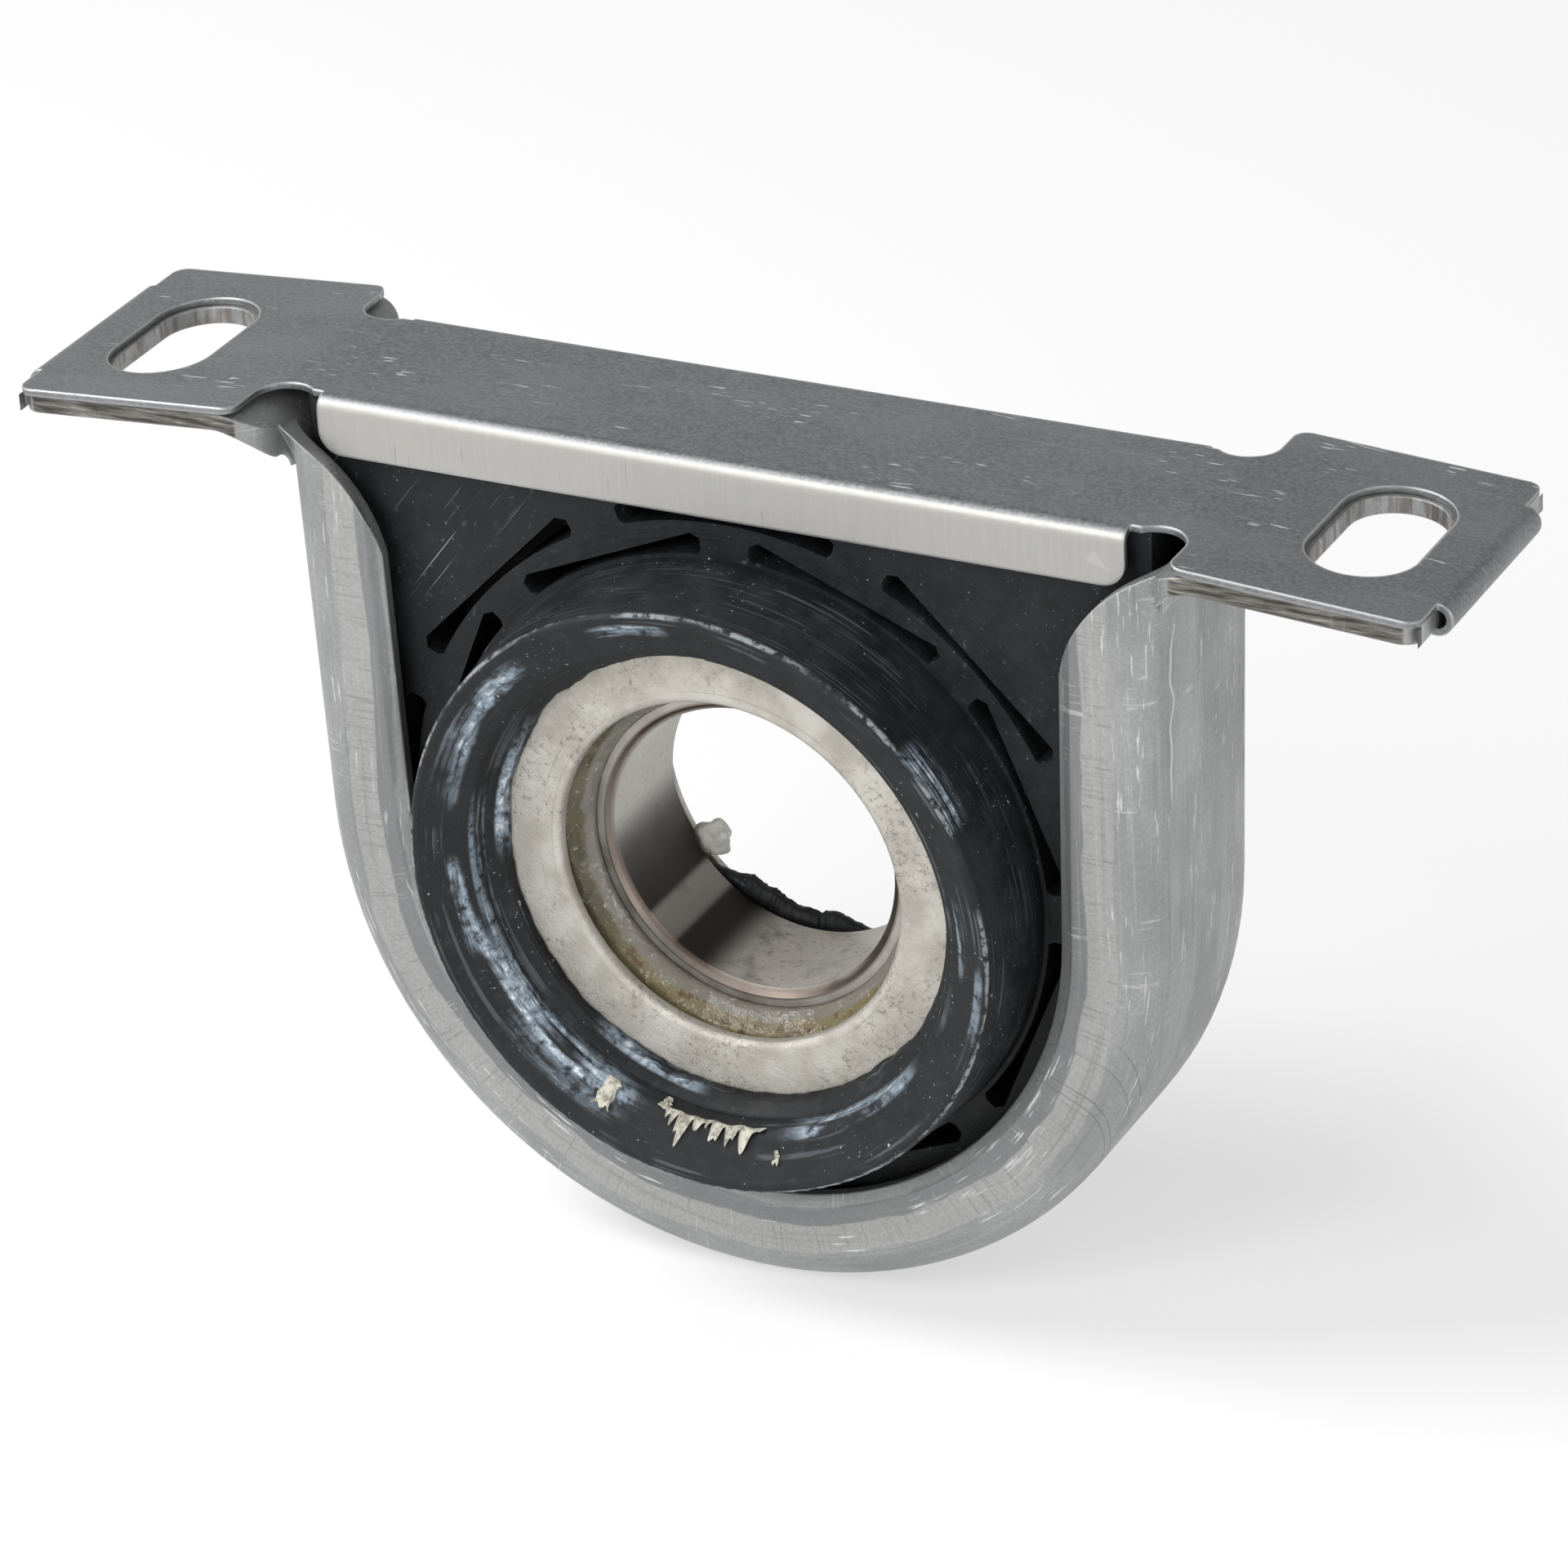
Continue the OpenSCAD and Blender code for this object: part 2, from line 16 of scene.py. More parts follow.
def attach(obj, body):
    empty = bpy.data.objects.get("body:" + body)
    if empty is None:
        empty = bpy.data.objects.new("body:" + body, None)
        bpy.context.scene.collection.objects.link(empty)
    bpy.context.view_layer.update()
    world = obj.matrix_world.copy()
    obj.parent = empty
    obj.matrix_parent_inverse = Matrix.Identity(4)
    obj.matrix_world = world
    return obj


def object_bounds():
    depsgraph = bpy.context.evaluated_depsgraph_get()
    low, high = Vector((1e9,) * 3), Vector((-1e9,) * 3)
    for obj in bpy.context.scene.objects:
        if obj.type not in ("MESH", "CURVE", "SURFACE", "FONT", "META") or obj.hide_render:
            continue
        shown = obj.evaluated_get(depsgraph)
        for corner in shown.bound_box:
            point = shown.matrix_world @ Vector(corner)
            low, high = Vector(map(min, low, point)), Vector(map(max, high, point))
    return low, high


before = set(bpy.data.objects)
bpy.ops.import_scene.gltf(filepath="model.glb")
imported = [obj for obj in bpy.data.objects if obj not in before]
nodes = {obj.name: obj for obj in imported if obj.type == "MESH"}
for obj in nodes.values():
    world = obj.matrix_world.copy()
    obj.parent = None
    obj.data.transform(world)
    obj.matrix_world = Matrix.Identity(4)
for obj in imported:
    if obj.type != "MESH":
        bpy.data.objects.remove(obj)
cad_low, cad_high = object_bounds()
MM = 0.001
print("CAD box in mm:", [round((h - l) / MM, 1) for l, h in zip(cad_low, cad_high)])

# %% [markdown]
# ## Camera
# A long lens from a little above and to the right flattens the perspective, as in a parts catalogue.
# The place and the tilt were fitted to the circles of the bearing and the edges of the plate, so the
# camera is simply put there. Depth of field stays off, because the whole part is sharp.

# %% Place the camera
SENSOR_MM = 36
FOCAL_MM = 163.93
CAMERA_PLACE = (0.3844, -0.7168, 0.4308)
CAMERA_TILT = (62.352, 2.985, 26.604)

camera = bpy.data.objects.new("camera", bpy.data.cameras.new("camera"))
bpy.context.scene.collection.objects.link(camera)
camera.data.sensor_width = SENSOR_MM
camera.data.lens = FOCAL_MM
camera.location = CAMERA_PLACE
camera.rotation_euler = [math.radians(angle) for angle in CAMERA_TILT]
bpy.context.scene.camera = camera
print("camera is", round(camera.location.length, 3), "m from the bore's centre")

# %% [markdown]
# ## One function for nodes
# A material is a small graph. One function adds a node, sets its properties and fills its sockets: a
# plain value is written on the socket, and another node is linked to it. Colours are written as the
# sRGB hex codes that a paint program shows, and turned into linear light once.

# %% Colours and nodes
def linear(code):
    """Linear RGBA of an sRGB hex code such as '#a1b2c3'."""
    parts = [int(code[i:i + 2], 16) / 255 for i in (1, 3, 5)]
    return [p / 12.92 if p <= 0.04045 else ((p + 0.055) / 1.055) ** 2.4 for p in parts] + [1]


def add(tree, kind, inputs=None, **settings):
    """Add a node of a kind with its settings; an input is a value, an output or a whole node."""
    made = tree.nodes.new(kind)
    for name, value in settings.items():
        setattr(made, name, value)
    for name, value in (inputs or {}).items():
        named = [s for s in made.inputs if s.enabled and s.name == name]
        socket = named[0] if named else made.inputs[name]
        if isinstance(value, bpy.types.Node):
            value = [s for s in value.outputs if s.enabled][0]
        if isinstance(value, bpy.types.NodeSocket):
            tree.links.new(value, socket)
        else:
            socket.default_value = value
    return made


print("a mid grey of #808080 is", round(linear("#808080")[0], 3), "in linear light")

# %% [markdown]
# A new material comes with a Principled shader. What is the same all over the piece is written on its
# sockets directly; what changes from place to place is linked to it from the graph.

# %% Start a material and connect it
def start_material(name, constants):
    """A new material, its tree and its surface shader with the sockets that are the same all over."""
    material = bpy.data.materials.new(name)
    material.use_nodes = True
    shader = material.node_tree.nodes["Principled BSDF"]
    for socket, value in constants.items():
        shader.inputs[socket].default_value = value
    return material, material.node_tree, shader


def connect(tree, shader, **outputs):
    """Link nodes to the shader's sockets, whose names are given with _ for the space."""
    for name, node in outputs.items():
        made = [s for s in node.outputs if s.enabled][0]
        tree.links.new(made, shader.inputs[name.replace("_", " ")])


def tell(material):
    """Print how large a material's graph is, and hand the material on."""
    print(material.name, "is a graph of", len(material.node_tree.nodes), "nodes")
    return material


# %% [markdown]
# ## Studio: the table
# The part stands on a white table. Seen directly or in a mirror, the table is partly white of its own,
# with a share of real shading, so that the soft shadow at the foot of the strap stays. The light path
# tells which rays look at it, so the white adds no light to the part.

# %% Floor
FLOOR_HALF = 4.0
FLOOR_DROP = 0.05 * MM
WHITE_SHARE = 0.50


def paint_table():
    """Matt white, which the camera and mirrors see as nearly white."""
    material, tree, shader = start_material(
        "white_table", {"Base Color": linear("#fafafa"), "Roughness": 0.9})
    path = add(tree, "ShaderNodeLightPath")
    seen = path.outputs["Is Camera Ray"]
    for ray in ("Is Glossy Ray", "Is Transmission Ray"):
        seen = add(tree, "ShaderNodeMath", {0: seen, 1: path.outputs[ray]}, operation="MAXIMUM")
    share = add(tree, "ShaderNodeMath", {0: seen, 1: WHITE_SHARE}, operation="MULTIPLY")
    white = add(tree, "ShaderNodeEmission", {"Color": linear("#ffffff"), "Strength": 1.0})
    both = add(tree, "ShaderNodeMixShader", {0: share, 1: shader, 2: white})
    connect(tree, tree.nodes["Material Output"], Surface=both)
    return tell(material)


def lay_floor():
    """A square table just under the foot of the strap."""
    made = bmesh.new()
    bmesh.ops.create_grid(made, x_segments=1, y_segments=1, size=FLOOR_HALF)
    bmesh.ops.translate(made, verts=made.verts, vec=(0, 0, cad_low.z - FLOOR_DROP))
    mesh = bpy.data.meshes.new("floor")
    made.to_mesh(mesh)
    made.free()
    mesh.materials.append(paint_table())
    table = bpy.data.objects.new("floor", mesh)
    bpy.context.scene.collection.objects.link(table)
    return table


print("laid", lay_floor().name)

# %% [markdown]
# ## Studio: sky and lamps
# The camera sees plain white behind the part. For all other rays the sky is dimmer overhead, which keeps
# the plate's top grey while its flange is pale. Three softboxes give the soft light: the key from the
# upper left, one in front for the bend of the flange, and a weak one at the side for the strap's wall.

# %% World and lamps
HORIZON_GLOW, OVERHEAD_GLOW = 0.92, 0.32
SOFTBOXES = (
    ("key_softbox", (-0.78, -0.30, 0.95), 0.5, 10.5),
    ("front_softbox", (-0.25, -0.95, 0.70), 0.5, 5.0),
    ("side_softbox", (0.9, -0.5, 0.35), 0.4, 2.0))


def light_world():
    """White where the camera looks past the part, and a sky that is dimmer overhead for the rest."""
    world = bpy.data.worlds.new("studio")
    bpy.context.scene.world = world
    world.use_nodes = True
    tree = world.node_tree
    path = add(tree, "ShaderNodeLightPath")
    seen = add(tree, "ShaderNodeMath", operation="MAXIMUM",
               inputs={0: path.outputs["Is Camera Ray"], 1: path.outputs["Is Transmission Ray"]})
    way = add(tree, "ShaderNodeSeparateXYZ", {0: add(tree, "ShaderNodeTexCoord").outputs["Generated"]})
    sky = add(tree, "ShaderNodeMapRange", interpolation_type="SMOOTHSTEP",
              inputs={"Value": way.outputs["Z"], "From Min": 0.05, "From Max": 0.75,
                      "To Min": HORIZON_GLOW, "To Max": OVERHEAD_GLOW})
    strength = add(tree, "ShaderNodeMix", {"Factor": seen, "A": sky, "B": 1.0}, data_type="FLOAT")
    background = tree.nodes["Background"]
    background.inputs["Color"].default_value = linear("#ffffff")
    connect(tree, background, Strength=strength)


def hang_lamp(name, place, size, power):
    """A square softbox at a place, turned to the bearing."""
    lamp = bpy.data.objects.new(name, bpy.data.lights.new(name, "AREA"))
    bpy.context.scene.collection.objects.link(lamp)
    lamp.data.size = size
    lamp.data.energy = power
    lamp.location = place
    lamp.rotation_euler = (-Vector(place)).to_track_quat("-Z", "Y").to_euler()
    return lamp


bpy.context.scene.view_settings.view_transform = "Standard"
light_world()
for softbox in SOFTBOXES:
    lamp = hang_lamp(*softbox)
    print(lamp.name, lamp.data.energy, "W")

# %% [markdown]
# ## Marks on a surface
# Every finish here is built from the same few ideas. Noise that is longer one way than the other is a
# streak, and a mask picks the part of a measure that lies between two values. The camera sees about nine
# pixels to a millimetre, so marks finer than 0.3 mm would only blur. Where the real grain is finer than
# that, it is drawn coarser, and a comment beside it says so.

# %% Streaks and masks
NOISE_SPAN = {"From Min": 0.3, "From Max": 0.7}


def streaks(tree, vector, sizes_mm, seed=0.0, detail=2.0, rough=0.5):
    """Noise whose marks are so many millimetres long in X, Y and Z, at a place set by the seed."""
    scaled = add(tree, "ShaderNodeMapping", {"Vector": vector, "Location": (seed, seed, seed),
                                             "Scale": [1 / (size * MM) for size in sizes_mm]})
    return add(tree, "ShaderNodeTexNoise",
               {"Vector": scaled, "Scale": 1.0, "Detail": detail, "Roughness": rough})


def mask(tree, measure, low, high, *others, top=1.0):
    """How far a measure has come from low to high, from 0 to top, where the other masks hold too."""
    made = add(tree, "ShaderNodeMapRange", interpolation_type="SMOOTHSTEP",
               inputs={"Value": measure, "From Min": low, "From Max": high, "To Max": top})
    for other in others:
        made = add(tree, "ShaderNodeMath", {0: made, 1: other}, operation="MULTIPLY")
    return made


# %% [markdown]
# Colours are laid over each other like coats of paint, each through its own mask. The same noises,
# weighed against each other, raise or sink the surface, so that a pit is both darker and deeper.

# %% Coats and relief
def coats(tree, ground, *layers):
    """A ground colour with coats laid over it in turn, each a mask and a hex code."""
    colour = linear(ground)
    for cover, code in layers:
        colour = add(tree, "ShaderNodeMix", {"Factor": cover, "A": colour, "B": linear(code)},
                     data_type="RGBA")
    return colour


def emboss(tree, shader, depth_mm, strength, *heights, over=None):
    """Raise the surface by noises, each with its weight, over a given normal or the mesh's own."""
    total = 0.0
    for height, weight in heights:
        total = add(tree, "ShaderNodeMath", {0: height, 1: weight, 2: total}, operation="MULTIPLY_ADD")
    bump = add(tree, "ShaderNodeBump",
               {"Height": total, "Strength": strength, "Distance": depth_mm * MM})
    if over:
        tree.links.new(over.outputs[0], bump.inputs["Normal"])
    connect(tree, shader, Normal=bump)


# %% [markdown]
# ## Coordinates round the shaft
# Many marks on this part run round the shaft. The direction from the axis takes the place of the angle,
# because an angle jumps where a turn ends and would leave a seam; scaled to a middling radius it is
# also a length, so that streak sizes stay true. Radius less depth follows a profile over its corners.

# %% Round the shaft
TURN_RADIUS = 35 * MM


def round_shaft(tree):
    """Object coordinates whole and split, direction and profile round the shaft, and the radius."""
    place = add(tree, "ShaderNodeTexCoord").outputs["Object"]
    split = add(tree, "ShaderNodeSeparateXYZ", {0: place})
    flat = add(tree, "ShaderNodeVectorMath", {0: place, 1: (1, 0, 1)}, operation="MULTIPLY")
    radius = add(tree, "ShaderNodeVectorMath", {0: flat}, operation="LENGTH").outputs["Value"]
    way = add(tree, "ShaderNodeVectorMath", {0: flat}, operation="NORMALIZE")
    way = add(tree, "ShaderNodeVectorMath", {0: way, "Scale": TURN_RADIUS}, operation="SCALE")
    turn = add(tree, "ShaderNodeSeparateXYZ", {0: way})
    depth = add(tree, "ShaderNodeMath", {0: split.outputs["Y"]}, operation="ABSOLUTE")
    profile = add(tree, "ShaderNodeMath", {0: radius, 1: depth}, operation="SUBTRACT")
    ring = add(tree, "ShaderNodeCombineXYZ", {0: turn.outputs["X"], 1: profile, 2: turn.outputs["Z"]})
    return place, split, ring, radius


def arc_patch(tree, ring, radius, angle, half_span, inner_mm, outer_mm):
    """A soft patch about an angle in degrees from +X up to +Z, between two radii."""
    turn = math.radians(angle)
    aim = (math.cos(turn) / TURN_RADIUS, 0, math.sin(turn) / TURN_RADIUS)
    toward = add(tree, "ShaderNodeVectorMath", {0: ring, 1: aim}, operation="DOT_PRODUCT")
    rim, core = (math.cos(math.radians(half_span * share)) for share in (1.0, 0.35))
    middle, reach = (inner_mm + outer_mm) / 2 * MM, (outer_mm - inner_mm) / 2 * MM
    off = add(tree, "ShaderNodeMath", {0: radius, 1: middle}, operation="SUBTRACT")
    off = add(tree, "ShaderNodeMath", {0: off}, operation="ABSOLUTE")
    return mask(tree, toward.outputs["Value"], rim, core, mask(tree, off, reach, 0.4 * reach))


# %% [markdown]
# ## Coordinates along the strap, and worn edges
# The strap is a flat band bent to a U, so its marks follow the run along the U: an arc below the shaft
# and straight legs above it. Edges are found by comparing the true normal with one whose edges are
# rounded; where the two differ, the metal is rubbed bright.

# %% Along the strap
BEND_RADIUS = 55 * MM


def along_strap(tree):
    """Object coordinates, a vector of run, distance out and depth, and the run and distance alone."""
    place = add(tree, "ShaderNodeTexCoord").outputs["Object"]
    split = add(tree, "ShaderNodeSeparateXYZ", {0: place})
    x, y, z = (split.outputs[axis] for axis in "XYZ")
    below = add(tree, "ShaderNodeMath", {0: z, 1: 0.0}, operation="MINIMUM")
    above = add(tree, "ShaderNodeMath", {0: z, 1: 0.0}, operation="MAXIMUM")
    from_axis = add(tree, "ShaderNodeCombineXYZ", {0: x, 1: 0.0, 2: below})
    out = add(tree, "ShaderNodeVectorMath", {0: from_axis}, operation="LENGTH").outputs["Value"]
    drop = add(tree, "ShaderNodeMath", {0: below, 1: -1.0}, operation="MULTIPLY")
    swing = add(tree, "ShaderNodeMath", {0: x, 1: drop}, operation="ARCTAN2")
    arc = add(tree, "ShaderNodeMath", {0: swing, 1: BEND_RADIUS}, operation="MULTIPLY")
    side = add(tree, "ShaderNodeMath", {0: x}, operation="SIGN")
    run = add(tree, "ShaderNodeMath", {0: above, 1: side, 2: arc}, operation="MULTIPLY_ADD")
    path = add(tree, "ShaderNodeCombineXYZ", {0: run, 1: out, 2: y})
    return place, split, path, run, out


def worn_edge(tree, width_mm):
    """The normal with edges rounded by a width, and a mask of those edges."""
    rounded = add(tree, "ShaderNodeBevel", {"Radius": width_mm * MM}, samples=6)
    true = add(tree, "ShaderNodeNewGeometry").outputs["Normal"]
    agree = add(tree, "ShaderNodeVectorMath", {0: rounded, 1: true}, operation="DOT_PRODUCT")
    return rounded, mask(tree, agree.outputs["Value"], 0.985, 0.86)


# %% [markdown]
# ## Strap: the bands along the U
# The rolls that bent the U left a pale rubbed band with fine cross lines on each lip; beside it, nearer
# the inner edge, the lip is drawn darker. The bands follow the distance from the U's middle line. Drawn
# by that alone they would look machined, so slow noise makes them wander.

# %% Bands along the strap
LIP_FACE = (14.6 * MM, 15.6 * MM)


def strap_bands(tree, path, out, depth):
    """Masks of the rubbed band on the lips and of the darker band inside it."""
    wander = streaks(tree, path, (16, 40, 40), seed=2, detail=3)
    band = add(tree, "ShaderNodeMath", {0: wander, 1: 3.2 * MM, 2: out}, operation="MULTIPLY_ADD")
    lip = mask(tree, depth, *LIP_FACE)
    rubbed = mask(tree, band, 52.0 * MM, 52.5 * MM, mask(tree, band, 56.6 * MM, 56.2 * MM), lip)
    shade = mask(tree, band, 49.3 * MM, 49.9 * MM, mask(tree, band, 52.4 * MM, 51.9 * MM), lip)
    return rubbed, shade


# %% [markdown]
# ## Strap: marks of handling
# One leg has a wavy crease near its top, dark scores down the wall, and slanted lines at its foot. Each
# mark is a line or a streak, kept to its place by masks on the coordinates.

# %% Crease, scores and slanted lines
CREASE_AT = 14.5 * MM


def strap_marks(tree, path, split, run, scuff):
    """Masks of the wavy crease, the dark scores and the slanted lines."""
    x, y, z = (split.outputs[axis] for axis in "XYZ")
    wave = streaks(tree, path, (9, 900, 900), seed=31, detail=1)
    off = add(tree, "ShaderNodeMath", {0: wave, 1: -7 * MM, 2: y}, operation="MULTIPLY_ADD")
    off = add(tree, "ShaderNodeMath", {0: off, 1: CREASE_AT}, operation="ADD")
    off = add(tree, "ShaderNodeMath", {0: off}, operation="ABSOLUTE")
    crease = mask(tree, off, 0.4 * MM, 0.1 * MM, mask(tree, z, 16 * MM, 24 * MM),
                  mask(tree, z, 46 * MM, 42 * MM), mask(tree, x, 0, 1 * MM))
    scored = mask(tree, scuff, 0.60, 0.68, mask(tree, x, 50 * MM, 58 * MM),
                  mask(tree, y, 7 * MM, 12 * MM), mask(tree, z, 6 * MM, 22 * MM))
    slope = add(tree, "ShaderNodeMath", {0: run, 1: 0.5, 2: y}, operation="MULTIPLY_ADD")
    slope = add(tree, "ShaderNodeCombineXYZ", {0: slope, 1: run, 2: 0.0})
    slope = streaks(tree, slope, (0.4, 60, 1), seed=41, detail=0)
    slanted = mask(tree, slope, 0.68, 0.74, mask(tree, x, 38 * MM, 46 * MM),
                   mask(tree, run, 46 * MM, 52 * MM), mask(tree, run, 76 * MM, 68 * MM))
    return crease, scored, slanted


# %% [markdown]
# ## Strap: the ears
# The ears under the plate were sheared and punched. Their long edges are torn along their length, and
# the slot's wall is rusty. The wall is where the distance from the slot's middle line is smallest, and
# that line is a straight piece along the shaft's direction.

# %% Ears and slot walls
SLOT_AT, SLOT_HALF_STRAIGHT = 84 * MM, 5.3 * MM
SLOT_WALL = (6.75 * MM, 6.5 * MM)
EAR_FROM = (67 * MM, 72 * MM)
SHEARED_FROM = (19.9 * MM, 20.1 * MM)


def ear_edges(tree, split, depth):
    """Masks of the ears, of their slots' walls and of their sheared edges."""
    end = add(tree, "ShaderNodeMath", {0: split.outputs["X"]}, operation="ABSOLUTE")
    off = add(tree, "ShaderNodeMath", {0: end, 1: SLOT_AT}, operation="SUBTRACT")
    past = add(tree, "ShaderNodeMath", {0: depth, 1: SLOT_HALF_STRAIGHT}, operation="SUBTRACT")
    past = add(tree, "ShaderNodeMath", {0: past, 1: 0.0}, operation="MAXIMUM")
    reach = add(tree, "ShaderNodeCombineXYZ", {0: off, 1: past, 2: 0.0})
    reach = add(tree, "ShaderNodeVectorMath", {0: reach}, operation="LENGTH").outputs["Value"]
    return mask(tree, end, *EAR_FROM), mask(tree, reach, *SLOT_WALL), mask(tree, depth, *SHEARED_FROM)


# %% [markdown]
# ## Strap: pickled hot-rolled sheet steel
# Hot-rolled sheet is pickled in acid, which leaves a dull light grey with a broad soft shine and no
# mirror. The bands, the marks and the ears' edges are laid over it as coats, and handling adds scuffs
# along the shoulder.

# %% Material of the strap
def make_strap_steel():
    """Dull grey with bands along the U, cross lines on the lips, and rusty slot walls."""
    material, tree, shader = start_material("pickled_sheet_steel", {"Metallic": 0.8})
    place, split, path, run, out = along_strap(tree)
    rounded, edge = worn_edge(tree, 0.5)
    depth = add(tree, "ShaderNodeMath", {0: split.outputs["Y"]}, operation="ABSOLUTE")
    cloud = streaks(tree, path, (18, 7, 7), detail=4)
    # Pickled grit is about 0.05 mm and the rolls' cross lines are finer still; both are drawn coarser.
    grit = streaks(tree, place, (0.5, 0.5, 0.5))
    cross = streaks(tree, path, (0.35, 9, 9), seed=7, detail=1)
    rolled = streaks(tree, path, (40, 0.7, 0.7), seed=3, detail=3)
    where = streaks(tree, path, (14, 5, 5), seed=11, detail=2)
    scuff = streaks(tree, path, (5, 0.35, 0.35), seed=19, detail=1)
    sparse = streaks(tree, path, (20, 6, 6), seed=23, detail=1)
    rust = streaks(tree, place, (1.2, 1.2, 6), seed=3, detail=3)
    torn = streaks(tree, place, (7, 1.2, 0.5), seed=13, detail=4, rough=0.6)
    rubbed, shade = strap_bands(tree, path, out, depth)
    crease, scored, slanted = strap_marks(tree, path, split, run, scuff)
    ear, slot_wall, sheared = ear_edges(tree, split, depth)
    colour = coats(
        tree, "#9a9b9b",
        (mask(tree, cloud, 0.34, 0.70, top=0.75), "#adaeae"),
        (mask(tree, shade, 0, 1, top=0.75), "#7f8081"),
        (mask(tree, rubbed, 0, 1, top=0.70), "#b2b2b0"),
        (mask(tree, cross, 0.54, 0.72, rubbed, top=0.55), "#8a8b8a"),
        (mask(tree, cross, 0.60, 0.70, mask(tree, where, 0.56, 0.66), top=0.6), "#cfcfce"),
        (mask(tree, rolled, 0.56, 0.76, top=0.30), "#c3c4c4"),
        (mask(tree, rolled, 0.42, 0.28, top=0.28), "#747576"),
        (mask(tree, scuff, 0.64, 0.72, mask(tree, sparse, 0.50, 0.58), top=0.85), "#dcdddd"),
        (mask(tree, grit, 0.62, 0.40, top=0.16), "#6a6b6c"),
        (mask(tree, crease, 0, 1, top=0.8), "#cfd0d0"),
        (mask(tree, scored, 0, 1, top=0.8), "#57585a"),
        (mask(tree, slanted, 0, 1, top=0.55), "#6c6d6f"),
        (mask(tree, rust, 0.44, 0.62, ear, top=0.30), "#6f6c67"),
        (mask(tree, rust, 0.40, 0.64, slot_wall, top=0.6), "#6e6154"),
        (mask(tree, sheared, 0, 1, top=0.85), "#6d6a64"),
        (mask(tree, torn, 0.44, 0.60, sheared, top=0.9), "#3f3b36"),
        (mask(tree, torn, 0.42, 0.34, sheared, top=0.7), "#a5a298"),
        (mask(tree, edge, 0, 1, top=0.45), "#c9caca"))
    rough = add(tree, "ShaderNodeMapRange",
                {"Value": cloud, **NOISE_SPAN, "To Min": 0.56, "To Max": 0.46})
    connect(tree, shader, Base_Color=colour, Roughness=rough)
    emboss(tree, shader, 0.12, 0.25, (grit, 0.5), (cross, 0.25), (crease, 1.5), over=rounded)
    return tell(material)


strap_steel = make_strap_steel()

# %% [markdown]
# ## Top plate: cold-rolled sheet steel
# Cold-rolled sheet is smoother and darker, with a fine even grain. Short bright scratches lie along the
# plate in loose groups. The flanges are painted paler, as painted light on the same steel, with a few
# upright lines from the folding tool, and every punched edge has a bright rolled rim.

# %% Material of the top plate
FLANGE_FACE = (12.9 * MM, 13.4 * MM)
FLANGE_END = (56.9 * MM, 56.4 * MM)


def make_plate_steel():
    """Mid-grey with fine grain, short bright dashes, flanges painted paler as lit, and bright rims."""
    material, tree, shader = start_material("cold_rolled_sheet_steel", {"Metallic": 0.85})
    place = add(tree, "ShaderNodeTexCoord").outputs["Object"]
    split = add(tree, "ShaderNodeSeparateXYZ", {0: place})
    rounded, edge = worn_edge(tree, 0.6)
    end = add(tree, "ShaderNodeMath", {0: split.outputs["X"]}, operation="ABSOLUTE")
    depth = add(tree, "ShaderNodeMath", {0: split.outputs["Y"]}, operation="ABSOLUTE")
    # The real grain is under 0.1 mm; half a millimetre is the finest that shows.
    grain = streaks(tree, place, (0.55, 0.45, 0.5), detail=3)
    cloud = streaks(tree, place, (25, 12, 20), seed=6, detail=3)
    rolled = streaks(tree, place, (14, 0.45, 14), seed=2, detail=2)
    folded = streaks(tree, place, (0.45, 30, 9), seed=4, detail=1)
    dashes = streaks(tree, place, (3.4, 0.34, 3), seed=5, detail=0)
    group = streaks(tree, place, (16, 7, 30), seed=9, detail=1)
    flange = mask(tree, depth, *FLANGE_FACE, mask(tree, end, *FLANGE_END))
    upright = mask(tree, folded, 0.74, 0.80, flange)
    colour = coats(
        tree, "#747677",
        (mask(tree, grain, 0.36, 0.66), "#8d8f90"),
        (mask(tree, cloud, 0.40, 0.70, top=0.35), "#96989a"),
        (mask(tree, rolled, 0.58, 0.76, top=0.28), "#b0b1b1"),
        (mask(tree, dashes, 0.71, 0.76, mask(tree, group, 0.58, 0.63), top=0.95), "#eceded"),
        # The flanges are painted paler than the top: painted light on the same steel.
        (mask(tree, flange, 0, 1, top=0.9), "#b3b2ae"),
        (mask(tree, folded, 0.30, 0.70, flange, top=0.15), "#c4c3bf"),
        (mask(tree, upright, 0, 1, top=0.5), "#868682"),
        (mask(tree, edge, 0, 1, top=0.8), "#d2d3d3"))
    rough = add(tree, "ShaderNodeMapRange",
                {"Value": grain, **NOISE_SPAN, "To Min": 0.40, "To Max": 0.50})
    connect(tree, shader, Base_Color=colour, Roughness=rough)
    emboss(tree, shader, 0.08, 0.22, (grain, 1.0), (rolled, 0.3), over=rounded)
    return tell(material)


plate_steel = make_plate_steel()

# %% [markdown]
# ## Talc on the rubber
# The mould was dusted with talc, which handling has rubbed into bluish white smears on the collar's
# face and along its inner edge. Noise alone would put them anywhere, so each smear is a patch round the
# shaft at a place of its own, and streaks break it up.

# %% Talc smears
# Angle and half span in degrees, inner and outer radius in mm, and how thick the talc lies.
TALC_SMEARS = (
    (-136, 34, 33.0, 36.0, 1.0), (-128, 22, 34.4, 39.0, 0.55), (-54, 26, 32.9, 35.2, 0.85),
    (142, 18, 35.4, 39.8, 0.8), (160, 14, 35.0, 38.0, 0.5), (-168, 14, 34.6, 37.6, 0.85),
    (101, 11, 36.8, 39.8, 0.75), (3, 12, 35.6, 37.8, 0.6), (-9, 11, 38.6, 40.8, 0.55),
    (34, 11, 40.3, 41.5, 0.9), (-178, 22, 33.0, 34.4, 0.6), (163, 26, 30.8, 32.6, 0.9),
    (-113, 20, 30.8, 32.4, 0.8))


